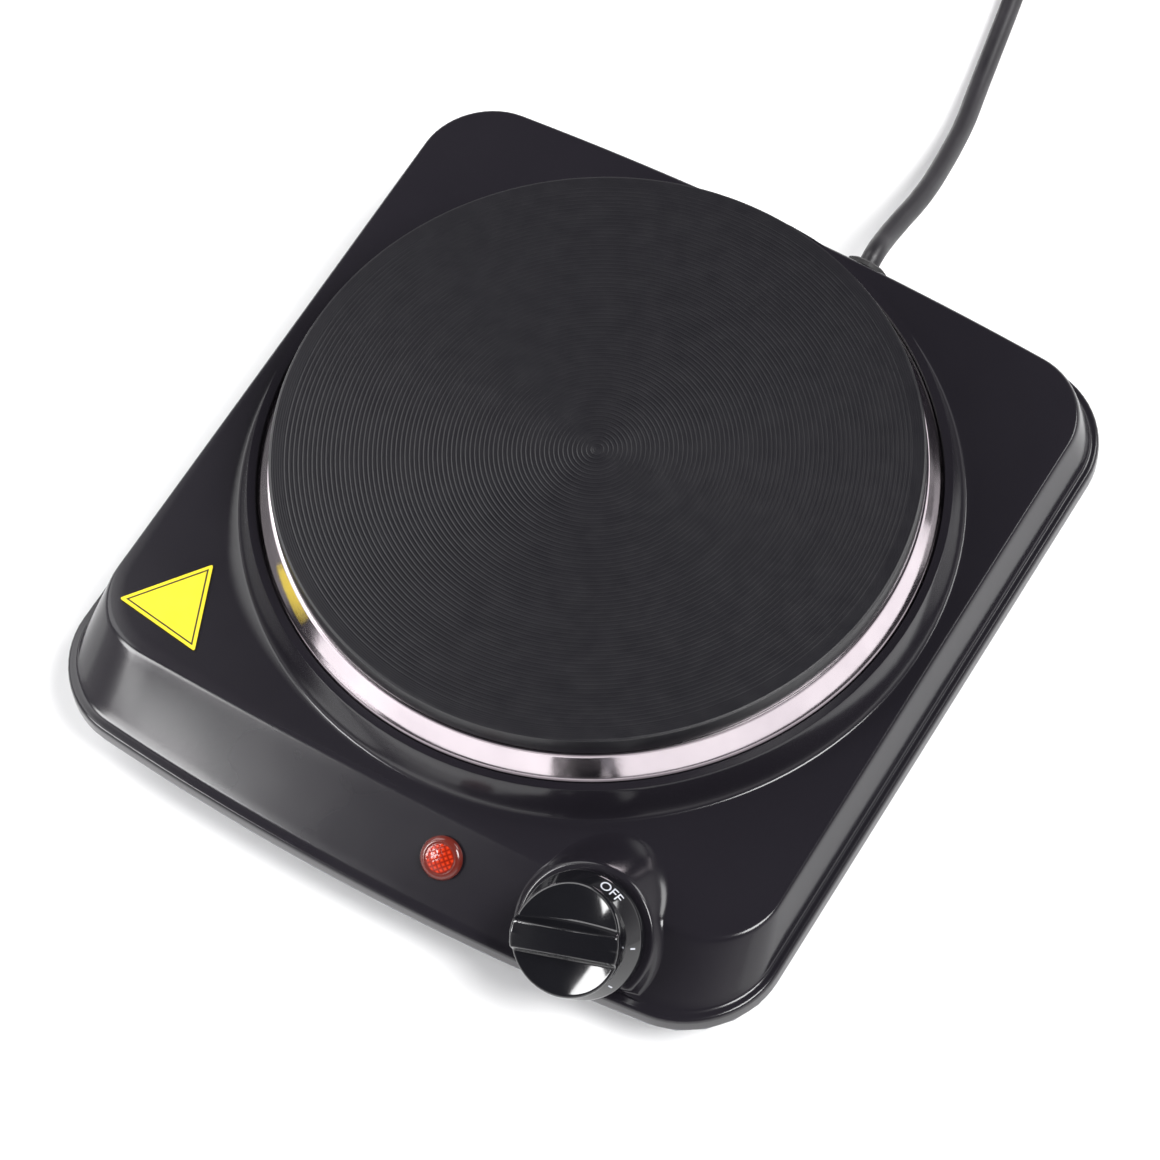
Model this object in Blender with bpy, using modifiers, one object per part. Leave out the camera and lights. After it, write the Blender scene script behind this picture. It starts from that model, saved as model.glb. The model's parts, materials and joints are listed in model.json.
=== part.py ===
"""Single-burner electric hot plate, modelled as separate pieces.

Metres, +Z up, standing on z = 0 on four rubber feet. The control panel faces -Y and +X is to
its right. Every piece is placed from the burner's axis, a vertical line that the empty
"burner_axis" carries; that empty is set back so that the origin lies under the middle of the
body's bounding box.
"""

import math

import bmesh
import bpy
from mathutils import Matrix, Vector

MM = 0.001

# Clearances ---------------------------------------------------------------------------------
SEAT_GAP = 0.3 * MM          # between pieces that rest on each other
HOLE_PLAY = 0.4 * MM         # round a pin, a stud or a bush in its hole

# Heights above the table --------------------------------------------------------------------
FOOT_HEIGHT = 8.0 * MM
TRAY_DEPTH = 8.5 * MM        # floor of the base tray below its flange
RIM_HEIGHT = 5.2 * MM        # rolled rim round the housing's lower edge
PANEL_RISE = 15.0 * MM       # from the rim's ledge to the top panel
BOSS_RISE = 12.4 * MM        # raised ring that carries the burner
PLATE_STAND = 13.4 * MM      # cooking surface above the raised ring

# Burner -------------------------------------------------------------------------------------
PLATE_RADIUS = 92.0 * MM     # cooking surface: the usual 185 mm class burner
PLATE_EDGE = 7.0 * MM        # black edge above the trim ring
PLATE_CHAMFER = 0.6 * MM
PLATE_BODY = 15.0 * MM       # thickness of the casting at its rim
PLATE_WEB = 9.5 * MM         # thickness between hub and rim
HUB_RADIUS = 9.0 * MM
HUB_DROP = 19.5 * MM         # hub's end below the cooking surface
TRIM_FLARE = 5.4 * MM        # how far the trim ring spreads downwards
TRIM_SHEET = 0.8 * MM
BOSS_FLAT = 1.6 * MM         # flat land outside the trim ring
BOSS_SLOPE = 4.2 * MM        # run of the raised ring's wall
OPENING_LIP = 6.5 * MM       # raised ring's land under the trim ring
STUD_RADIUS = 3.0 * MM
SHIELD_SHEET = 0.6 * MM
CLAMP_SHEET = 2.5 * MM
CLAMP_WIDTH = 16.0 * MM
BEAD_RADIUS = 4.2 * MM
PIN_RADIUS = 1.3 * MM

# Housing ------------------------------------------------------------------------------------
SHEET = 1.0 * MM
SIDE_MARGIN = 4.5 * MM       # top panel beyond the raised ring at the sides
FRONT_MARGIN = 2.6 * MM
REAR_MARGIN = 1.9 * MM
CREASE_CORNER = 20.0 * MM
CREASE_BLEND = 1.0 * MM
CREASE_FRONT_BOW = 1.5 * MM
CREASE_REAR_BOW = 5.2 * MM
SIDE_FLARE = 3.2 * MM        # walls lean out by this much down to the rim's ledge
PANEL_FLARE = 15.1 * MM      # the control panel's run at its ends
REAR_FLARE = 3.2 * MM
RIM_CORNER = 22.0 * MM
RIM_STEP = 2.7 * MM          # ledge and lip together
RIM_LIP = 1.2 * MM
RIM_FRONT_BOW = 8.0 * MM
RIM_REAR_BOW = 6.5 * MM
CORNER_STEPS = 5
SIDE_STEPS = 7
SCREW_RADIUS = 1.9 * MM
FOOT_RADIUS = 9.0 * MM
POST_RADIUS = 4.0 * MM

# Controls -----------------------------------------------------------------------------------
KNOB_X = 64.5 * MM
KNOB_DOWN = 12.0 * MM        # knob axis from the crease, down the panel
PAD_RISE = 2.5 * MM
PAD_RADIUS = 19.7 * MM
PAD_SPREAD = 0.45            # run of the pad's wall for each unit of depth
PAD_DEPTH = 12.0 * MM
SKIRT_RADIUS = 17.8 * MM
SKIRT_HEIGHT = 5.5 * MM
CAP_RADIUS = 16.2 * MM
KNOB_HEIGHT = 19.0 * MM
KNOB_FLOAT = 1.0 * MM        # running gap between the knob and its pad
GRIP_WIDTH = 8.6 * MM
GRIP_DEPTH = 7.5 * MM
GRIP_ANGLE = 20.0            # the grip bar's turn from the panel's level line
SHAFT_RADIUS = 3.0 * MM
SHAFT_FLAT = 1.0 * MM        # cut away from the shaft's round end
BUSH_RADIUS = 5.0 * MM
BUSH_STAND = 3.4 * MM        # threaded bush above the pad
THERMO_WIDTH = 20.0 * MM
THERMO_DEPTH = 9.0 * MM
THERMO_PLATE = 1.2 * MM
PIN_TRAVEL = 0.9 * MM
LAMP_X = 18.5 * MM
LAMP_DOWN = 11.6 * MM
LENS_RADIUS = 6.2 * MM
LENS_NECK = 4.6 * MM
STICKER_SIDE = 27.0 * MM
STICKER_SHEET = 0.3 * MM
STICKER_TURN = -8.0
STICKER_INSET = Vector((21.7, 17.1)) * MM    # its middle in from the top panel's left and front
BLOCK_CENTRE = Vector((54.0, 68.0)) * MM
BLOCK_SIZE = Vector((30.0, 16.0, 11.0)) * MM

# Cord ---------------------------------------------------------------------------------------
CORD_RADIUS = 3.1 * MM
GLAND_NECK = 4.5 * MM
GLAND_FLANGE = 6.2 * MM
GLAND_STAND = 2.2 * MM
CLAMP_DROP = 4.8 * MM        # cord at its clamp, below its exit
CORD_EXIT = Vector((25.8, 0.0, 30.0)) * MM
COIL_BASE = 1.4 * MM
COIL_SIDE = -44.0 * MM       # the coil's middle, across from the burner's axis
COIL_BEHIND = 156.8 * MM     # and behind the rear wall
LAYER = 2.0 * CORD_RADIUS
COIL_WIDTH = 2.0 * LAYER + 0.8 * MM
COIL_HEIGHT = 2.0 * LAYER
COIL_REACH = 46.7 * MM       # from the coil's middle to the cord's ends beside it
COIL_RADIUS = COIL_REACH - CORD_RADIUS - COIL_WIDTH / 2.0
PLUG_RADIUS = 18.0 * MM

# Worked out from the sizes above -------------------------------------------------------------
TRAY_BOTTOM = FOOT_HEIGHT
FLANGE_Z = TRAY_BOTTOM + TRAY_DEPTH
RIM_Z = FLANGE_Z + SHEET + SEAT_GAP
LEDGE_Z = RIM_Z + RIM_HEIGHT
PANEL_Z = LEDGE_Z + PANEL_RISE
BOSS_Z = PANEL_Z + BOSS_RISE
PLATE_Z = BOSS_Z + PLATE_STAND
TRIM_TOP_Z = PLATE_Z - PLATE_EDGE
TRIM_RADIUS = PLATE_RADIUS + TRIM_FLARE
BOSS_RADIUS = TRIM_RADIUS + BOSS_FLAT
BOSS_FOOT = BOSS_RADIUS + BOSS_SLOPE
OPENING_RADIUS = TRIM_RADIUS - OPENING_LIP
CASTING_RADIUS = OPENING_RADIUS - 1.0 * MM
TOP_HALF_WIDTH = BOSS_FOOT + SIDE_MARGIN
TOP_FRONT = BOSS_FOOT + FRONT_MARGIN
TOP_REAR = BOSS_FOOT + REAR_MARGIN - CREASE_REAR_BOW
LEDGE_HALF_WIDTH = TOP_HALF_WIDTH + SIDE_FLARE
LEDGE_FRONT = TOP_FRONT + PANEL_FLARE
LEDGE_REAR = TOP_REAR + REAR_FLARE
FLOOR_Z = TRAY_BOTTOM + SHEET
CLAMP_LOW = PLATE_Z - HUB_DROP - 2.0 * SEAT_GAP - SHIELD_SHEET - CLAMP_SHEET


def bowed_reach(reach, bow, half_width, across):
    """Distance from the burner's axis to a bowed edge, at a place across the body."""
    return reach + bow * (1.0 - (across / half_width) ** 2)


def panel_place(across, down):
    """Point on the control panel and its tilt, at a distance down from the crease."""
    top = bowed_reach(TOP_FRONT, CREASE_FRONT_BOW, TOP_HALF_WIDTH, across)
    foot = bowed_reach(LEDGE_FRONT, RIM_FRONT_BOW, LEDGE_HALF_WIDTH, across)
    tilt = math.atan2(PANEL_Z - LEDGE_Z, foot - top)
    point = Vector((across, -top - down * math.cos(tilt), PANEL_Z - down * math.sin(tilt)))
    return point, tilt


KNOB_POINT, KNOB_TILT = panel_place(KNOB_X, KNOB_DOWN)
LAMP_POINT, LAMP_TILT = panel_place(LAMP_X, LAMP_DOWN)
KNOB_BASE = PAD_RISE + KNOB_FLOAT
GRIP_FLOOR = KNOB_BASE + KNOB_HEIGHT - GRIP_DEPTH


# Scene and placing ---------------------------------------------------------------------------
def clear_scene():
    """Remove every object and every collection that the file holds."""
    for item in list(bpy.data.objects):
        bpy.data.objects.remove(item, do_unlink=True)
    for item in list(bpy.data.collections):
        bpy.data.collections.remove(item)


def new_collection(name):
    collection = bpy.data.collections.new(name)
    bpy.context.scene.collection.children.link(collection)
    return collection


def new_empty(name, location=(0.0, 0.0, 0.0), tilt=0.0, parent=None):
    """An empty that places what is parented to it; tilt turns it about X."""
    empty = bpy.data.objects.new(name, None)
    empty.location = location
    empty.rotation_euler = (tilt, 0.0, 0.0)
    empty.parent = parent
    PARTS.objects.link(empty)
    return empty


def finish(name, colour, roughness, metallic=0.0):
    """A Principled material with one colour, roughness and metallic value."""
    material = bpy.data.materials.new(name)
    material.use_nodes = True
    shader = material.node_tree.nodes["Principled BSDF"]
    shader.inputs["Base Color"].default_value = (*colour, 1.0)
    shader.inputs["Roughness"].default_value = roughness
    shader.inputs["Metallic"].default_value = metallic
    return material


def add_object(name, mesh, material, parent, cutter=False):
    """Put a mesh in the scene as a part, or as a cutter when no material is given."""
    item = bpy.data.objects.new(name, mesh)
    item.parent = parent
    if cutter:
        item.hide_render = True
        item.display_type = "WIRE"
        CUTTERS.objects.link(item)
    else:
        mesh.materials.append(material)
        PARTS.objects.link(item)
    return item


def mesh_from(name, bm):
    """Turn a bmesh into a mesh with its faces outward, smooth but for its sharp edges."""
    bmesh.ops.recalc_face_normals(bm, faces=bm.faces)
    mesh = bpy.data.meshes.new(name)
    bm.to_mesh(mesh)
    bm.free()
    mesh.shade_smooth()
    mesh.set_sharp_from_angle(angle=math.radians(35.0))
    return mesh


def move(x=0.0, y=0.0, z=0.0):
    return Matrix.Translation((x, y, z))


def turn(degrees, axis):
    return Matrix.Rotation(math.radians(degrees), 4, axis)


# Shapes --------------------------------------------------------------------------------------
def box(name, size, place, material=None, parent=None, bevel=0.0, cutter=False):
    """A block of a size with its middle at a place, its edges rounded by bevel."""
    bm = bmesh.new()
    bmesh.ops.create_cube(bm, size=1.0, matrix=place @ Matrix.Diagonal((*size, 1.0)))
    item = add_object(name, mesh_from(name, bm), material, parent, cutter)
    if bevel:
        rounding = item.modifiers.new("edges", "BEVEL")
        rounding.width = bevel
        rounding.segments = 2
    return item


def cylinder(name, radius, bottom, top, place, material=None, parent=None, sides=24,
             cutter=False, top_radius=None):
    """A cylinder, or a cone, from a bottom height to a top height along the place's own Z."""
    bm = bmesh.new()
    bmesh.ops.create_cone(
        bm, cap_ends=True, segments=sides, radius1=radius,
        radius2=radius if top_radius is None else top_radius, depth=top - bottom,
        matrix=place @ move(z=(top + bottom) / 2.0),
    )
    return add_object(name, mesh_from(name, bm), material, parent, cutter)


def turned(name, profile, material, parent, place=None, steps=32, closed=False, cutter=False):
    """Turn a profile of (radius, height) points, run down its outer side, about the axis."""
    mesh = bpy.data.meshes.new(name)
    bm = bmesh.new()
    verts = [bm.verts.new((radius, 0.0, height)) for radius, height in profile]
    for start, end in zip(verts, verts[1:]):
        bm.edges.new((start, end))
    if closed:
        bm.edges.new((verts[-1], verts[0]))
    bm.to_mesh(mesh)
    bm.free()
    item = add_object(name, mesh, material, parent, cutter)
    if place is not None:
        item.matrix_local = place
    screw = item.modifiers.new("turn", "SCREW")
    screw.steps = steps
    screw.render_steps = steps
    screw.use_merge_vertices = True
    screw.merge_threshold = 0.00001
    return item


def sheet_outline(name, points, thickness, place, material=None, parent=None, cutter=False):
    """A flat outline in the place's XY plane, its thickness upward from that plane."""
    curve = bpy.data.curves.new(name, "CURVE")
    curve.dimensions = "2D"
    curve.fill_mode = "BOTH"
    curve.extrude = thickness / 2.0
    spline = curve.splines.new("POLY")
    spline.points.add(len(points) - 1)
    for target, (x, y) in zip(spline.points, points):
        target.co = (x, y, 0.0, 1.0)
    spline.use_cyclic_u = True
    source = bpy.data.objects.new(name + "_outline", curve)
    PARTS.objects.link(source)
    evaluated = source.evaluated_get(bpy.context.evaluated_depsgraph_get())
    mesh = bpy.data.meshes.new_from_object(evaluated)
    bpy.data.objects.remove(source, do_unlink=True)
    bm = bmesh.new()
    bm.from_mesh(mesh)
    bmesh.ops.remove_doubles(bm, verts=bm.verts, dist=0.000001)
    bmesh.ops.transform(bm, matrix=place @ move(z=thickness / 2.0), verts=bm.verts)
    bpy.data.meshes.remove(mesh)
    return add_object(name, mesh_from(name, bm), material, parent, cutter)


def smooth_route(route, spacing):
    """Evenly spaced points on a Catmull-Rom curve through the route's points."""
    points = [Vector(point) for point in route]
    points = [2.0 * points[0] - points[1]] + points + [2.0 * points[-1] - points[-2]]
    fine = []
    for before, start, end, after in zip(points, points[1:], points[2:], points[3:]):
        for step in range(24):
            t = step / 24.0
            fine.append(0.5 * (
                2.0 * start + (end - before) * t
                + (2.0 * before - 5.0 * start + 4.0 * end - after) * t ** 2
                + (3.0 * start - before - 3.0 * end + after) * t ** 3
            ))
    fine.append(points[-2])
    total = sum((b - a).length for a, b in zip(fine, fine[1:]))
    count = max(2, round(total / spacing))
    even, walked, goal = [fine[0]], 0.0, total / count
    for start, end in zip(fine, fine[1:]):
        length = (end - start).length
        while length and walked + length >= goal - 1e-9 and len(even) < count:
            even.append(start.lerp(end, (goal - walked) / length))
            goal += total / count
        walked += length
    even.append(fine[-1])
    return even


def tube(name, route, radius, material, parent, spacing=None, resolution=2):
    """A round wire or cord along a smooth route, with flat filled ends."""
    curve = bpy.data.curves.new(name, "CURVE")
    curve.dimensions = "3D"
    curve.bevel_depth = radius
    curve.bevel_resolution = resolution
    curve.use_fill_caps = True
    points = smooth_route(route, spacing or 5.0 * radius)
    spline = curve.splines.new("POLY")
    spline.points.add(len(points) - 1)
    for target, point in zip(spline.points, points):
        target.co = (*point, 1.0)
    curve.materials.append(material)
    item = bpy.data.objects.new(name, curve)
    item.parent = parent
    PARTS.objects.link(item)
    return item


def combine(item, tool, operation):
    """Cut a tool from an item, or join it on, with an exact Boolean."""
    boolean = item.modifiers.new(operation.lower(), "BOOLEAN")
    boolean.operation = operation
    boolean.object = tool
    boolean.solver = "EXACT"
    return item


def rounded_outline(half_width, front, rear, corner, front_bow, rear_bow):
    """Plan of the body: a rounded rectangle whose front and rear edges bow outwards."""
    points = []
    corners = ((1, 1, 0.0), (-1, 1, 90.0), (-1, -1, 180.0), (1, -1, 270.0))
    for side, end, first in corners:
        centre_x = side * (half_width - corner)
        centre_y = rear - corner if end > 0 else corner - front
        for step in range(CORNER_STEPS + 1):
            angle = math.radians(first + 90.0 * step / CORNER_STEPS)
            points.append((centre_x + corner * math.cos(angle),
                           centre_y + corner * math.sin(angle)))
    plan = []
    for index, (x, y) in enumerate(points):
        plan.append((x, y))
        if index % (CORNER_STEPS + 1) == CORNER_STEPS:
            next_x, next_y = points[(index + 1) % len(points)]
            for step in range(1, SIDE_STEPS):
                share = step / SIDE_STEPS
                plan.append((x + (next_x - x) * share, y + (next_y - y) * share))
    bowed = []
    for x, y in plan:
        lift = 1.0 - (x / half_width) ** 2
        if y > 0.0:
            bowed.append((x, y + rear_bow * lift * y / rear))
        else:
            bowed.append((x, y + front_bow * lift * y / front))
    return bowed


def loft(name, rings, material, parent, cutter=False):
    """A closed solid through rings of equal point count, listed from the bottom up."""
    bm = bmesh.new()
    loops = [[bm.verts.new(point) for point in ring] for ring in rings]
    for lower, upper in zip(loops, loops[1:]):
        for index in range(len(lower)):
            after = (index + 1) % len(lower)
            bm.faces.new((lower[index], lower[after], upper[after], upper[index]))
    bm.faces.new(list(reversed(loops[0])))
    bm.faces.new(loops[-1])
    return add_object(name, mesh_from(name, bm), material, parent, cutter)


def at_height(plan, height):
    return [(x, y, height) for x, y in plan]


def ledge_plan(offset):
    """Plan of the housing at the rim's ledge, moved outwards by an offset."""
    return rounded_outline(
        LEDGE_HALF_WIDTH + offset, LEDGE_FRONT + offset, LEDGE_REAR + offset,
        RIM_CORNER + offset, RIM_FRONT_BOW, RIM_REAR_BOW)


def crease_plan(offset):
    """Plan of the top panel's edge, moved outwards by an offset."""
    return rounded_outline(
        TOP_HALF_WIDTH + offset, TOP_FRONT + offset, TOP_REAR + offset,
        CREASE_CORNER + offset, CREASE_FRONT_BOW, CREASE_REAR_BOW)


def blended_crease(height):
    """Rings that round the crease between the walls and the top panel."""
    crease = [Vector(point) for point in at_height(crease_plan(0.0), height)]
    ledge = [Vector(point) for point in at_height(ledge_plan(0.0), LEDGE_Z)]
    inner = [Vector(point) for point in at_height(crease_plan(-CREASE_BLEND), height)]
    outer = [c + (l - c).normalized() * 1.6 * CREASE_BLEND for c, l in zip(crease, ledge)]
    rings = []
    for t in (0.0, 0.35, 0.65, 1.0):
        rings.append([
            (1.0 - t) ** 2 * low + 2.0 * t * (1.0 - t) * corner + t ** 2 * high
            for low, corner, high in zip(outer, crease, inner)
        ])
    return rings


def round_ring(radius, height):
    """A circle whose points lie in the directions of the crease's points."""
    ring = []
    for x, y in crease_plan(-CREASE_BLEND):
        reach = math.hypot(x, y)
        ring.append((radius * x / reach, radius * y / reach, height))
    return ring


# Housing -------------------------------------------------------------------------------------
def pad_cutter(name, inset):
    """The raised pad under the knob, as a solid cone along the knob's axis."""
    top = PAD_RISE - inset
    pad = cylinder(
        name, PAD_RADIUS - inset + (top + PAD_DEPTH) * PAD_SPREAD, -PAD_DEPTH, top, Matrix(),
        parent=KNOB_AXIS, sides=40, cutter=True, top_radius=PAD_RADIUS - inset)
    plan = ledge_plan(-inset - 0.2 * MM)
    bounds = loft(name + "_bounds", [at_height(plan, LEDGE_Z - 0.3 * MM - inset),
                                     at_height(plan, PLATE_Z)], None, BURNER, cutter=True)
    return combine(pad, bounds, "INTERSECT")


def build_housing():
    """Pressed steel housing: rim, walls, sloping panel, raised ring, pad and openings."""
    blend = 0.8 * MM
    outer = [at_height(ledge_plan(RIM_STEP), RIM_Z),
             at_height(ledge_plan(RIM_STEP - 0.2 * MM), LEDGE_Z - 1.6 * MM),
             at_height(ledge_plan(RIM_STEP - RIM_LIP), LEDGE_Z - 0.5 * MM),
             at_height(ledge_plan(0.0), LEDGE_Z)]
    outer += blended_crease(PANEL_Z)
    for run, rise in ((1.0, 0.0), (0.72, 0.09), (0.46, 0.34), (0.2, 0.76), (0.07, 0.95),
                      (-0.15, 1.0)):
        outer.append(round_ring(BOSS_RADIUS + BOSS_SLOPE * run, PANEL_Z + BOSS_RISE * rise))
    housing = loft("upper_housing", outer, BLACK_COAT, BURNER)
    combine(housing, pad_cutter("pad_outside", 0.0), "UNION")

    inner = [at_height(ledge_plan(RIM_STEP - SHEET), RIM_Z - 2.0 * MM),
             at_height(ledge_plan(RIM_STEP - SHEET), LEDGE_Z - 2.0 * MM),
             at_height(ledge_plan(-SHEET), LEDGE_Z - 0.6 * MM),
             at_height(crease_plan(-SHEET), PANEL_Z - SHEET)]
    for run, rise in ((1.0, 0.0), (0.4, 0.34), (0.0, 1.0)):
        inner.append(round_ring(BOSS_RADIUS - blend + BOSS_SLOPE * run,
                                PANEL_Z - SHEET + BOSS_RISE * rise))
    hollow = loft("housing_hollow", inner, None, BURNER, cutter=True)
    combine(hollow, pad_cutter("pad_inside", SHEET), "UNION")
    combine(housing, hollow, "DIFFERENCE")

    opening = cylinder("burner_opening", OPENING_RADIUS, PANEL_Z, PLATE_Z, Matrix(),
                       parent=BURNER, sides=64, cutter=True)
    combine(housing, opening, "DIFFERENCE")
    bush_hole = cylinder("bush_hole", BUSH_RADIUS + HOLE_PLAY, -PAD_DEPTH, 2.0 * PAD_DEPTH,
                         Matrix(), parent=KNOB_AXIS, sides=20, cutter=True)
    combine(housing, bush_hole, "DIFFERENCE")
    lamp_hole = cylinder("lamp_hole", LENS_NECK + HOLE_PLAY, -5.0 * MM, 5.0 * MM,
                         Matrix(), parent=LAMP_AXIS, sides=20, cutter=True)
    combine(housing, lamp_hole, "DIFFERENCE")
    gland_hole = cylinder("gland_hole", GLAND_NECK + HOLE_PLAY, -12.0 * MM, 12.0 * MM,
                          gland_place(), parent=BURNER, sides=20, cutter=True)
    combine(housing, gland_hole, "DIFFERENCE")
    return housing


def rear_wall_reach(height):
    """How far back the rear wall's outside lies at a height above the rim's ledge."""
    share = (height - LEDGE_Z) / (PANEL_Z - LEDGE_Z)
    ledge = bowed_reach(LEDGE_REAR, RIM_REAR_BOW, LEDGE_HALF_WIDTH, CORD_EXIT.x)
    crease = bowed_reach(TOP_REAR, CREASE_REAR_BOW, TOP_HALF_WIDTH, CORD_EXIT.x)
    return ledge + (crease - ledge) * share


def gland_place():
    """Place of the cord gland: its Z runs out square to the rear wall, which leans."""
    lean = rear_wall_reach(CORD_EXIT.z) - rear_wall_reach(CORD_EXIT.z + 1.0)
    return (move(CORD_EXIT.x, rear_wall_reach(CORD_EXIT.z), CORD_EXIT.z)
            @ Matrix.Rotation(math.atan(lean) - math.pi / 2.0, 4, "X"))


def along_gland(distance):
    """Point on the gland's axis, at a distance outwards from the rear wall."""
    return gland_place() @ Vector((0.0, 0.0, distance))


def foot_places():
    """Centres of the four feet in plan."""
    across = LEDGE_HALF_WIDTH - 29.0 * MM
    front, rear = LEDGE_FRONT - 17.0 * MM, LEDGE_REAR - 20.0 * MM
    return [(-across, -front), (across, -front), (-across, rear), (across, rear)]


def build_base():
    """Pressed base tray with vents, its flange just under the housing's rim."""
    lip = RIM_STEP - SEAT_GAP
    wall = 4.0 * MM
    rings = [at_height(ledge_plan(lip), FLANGE_Z + SHEET), at_height(ledge_plan(lip), FLANGE_Z),
             at_height(ledge_plan(lip - wall), FLANGE_Z),
             at_height(ledge_plan(lip - 2.0 * wall), TRAY_BOTTOM)]
    tray = loft("base_plate", list(reversed(rings)), GREY_STEEL, BURNER)
    hollow = loft("tray_hollow", [
        at_height(ledge_plan(lip - 2.0 * wall - SHEET), FLOOR_Z),
        at_height(ledge_plan(lip - wall - SHEET), FLANGE_Z + SHEET),
        at_height(ledge_plan(lip - wall - SHEET), FLANGE_Z + 3.0 * SHEET),
    ], None, BURNER, cutter=True)
    combine(tray, hollow, "DIFFERENCE")
    slot_count = 7
    for row in (-1, 1):
        for index in range(slot_count):
            across = (index - (slot_count - 1) / 2.0) * 11.0 * MM
            slot = box(f"vent_{row}_{index}", (3.6 * MM, 30.0 * MM, 4.0 * MM),
                       move(across, row * 42.0 * MM, FLOOR_Z), parent=BURNER, cutter=True)
            combine(tray, slot, "DIFFERENCE")
    for index, (x, y) in enumerate(foot_places()):
        hole = cylinder(f"foot_hole_{index}", SCREW_RADIUS + HOLE_PLAY, 0.0, FLANGE_Z,
                        move(x, y), parent=BURNER, sides=12, cutter=True)
        combine(tray, hole, "DIFFERENCE")
    return tray


def build_feet():
    """Four rubber feet, each with its screw and the post that the screw bites into."""
    recess = 4.0 * MM
    for index, (x, y) in enumerate(foot_places(), start=1):
        place = move(x, y)
        foot_top = TRAY_BOTTOM - SEAT_GAP
        seat = recess + 1.6 * MM
        turned(f"rubber_foot_{index}", [
            (SCREW_RADIUS + HOLE_PLAY, foot_top), (FOOT_RADIUS, foot_top),
            (FOOT_RADIUS, 1.2 * MM), (FOOT_RADIUS - 1.2 * MM, 0.0), (recess, 0.0),
            (recess, seat), (SCREW_RADIUS + HOLE_PLAY, seat),
        ], RUBBER, BURNER, place, steps=16, closed=True)
        head = seat - SEAT_GAP
        turned(f"foot_screw_{index}", [
            (0.0, FLOOR_Z + 12.0 * MM), (SCREW_RADIUS - 0.5 * MM, FLOOR_Z + 12.0 * MM),
            (SCREW_RADIUS, FLOOR_Z + 11.3 * MM), (SCREW_RADIUS, head), (recess - 0.5 * MM, head),
            (recess - 1.2 * MM, head - 2.2 * MM), (0.0, head - 2.2 * MM),
        ], ZINC, BURNER, place, steps=12)
        bore = SCREW_RADIUS + HOLE_PLAY
        post_top = PANEL_Z - SHEET - SEAT_GAP if y > 0.0 else post_height(x, y)
        turned(f"housing_post_{index}", [
            (bore, post_top), (POST_RADIUS, post_top), (POST_RADIUS, FLOOR_Z + SEAT_GAP),
            (bore, FLOOR_Z + SEAT_GAP),
        ], ZINC, BURNER, place, steps=12, closed=True)


def post_height(x, y):
    """Underside of the sloping panel above a front post, taken at the post's lower side."""
    top = bowed_reach(TOP_FRONT, CREASE_FRONT_BOW, TOP_HALF_WIDTH, x)
    _, tilt = panel_place(x, 0.0)
    run = max(0.0, POST_RADIUS - y - top)
    drop = run * math.tan(tilt) + SHEET / math.cos(tilt)
    return PANEL_Z - drop - 2.0 * SEAT_GAP


# Burner --------------------------------------------------------------------------------------


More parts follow.
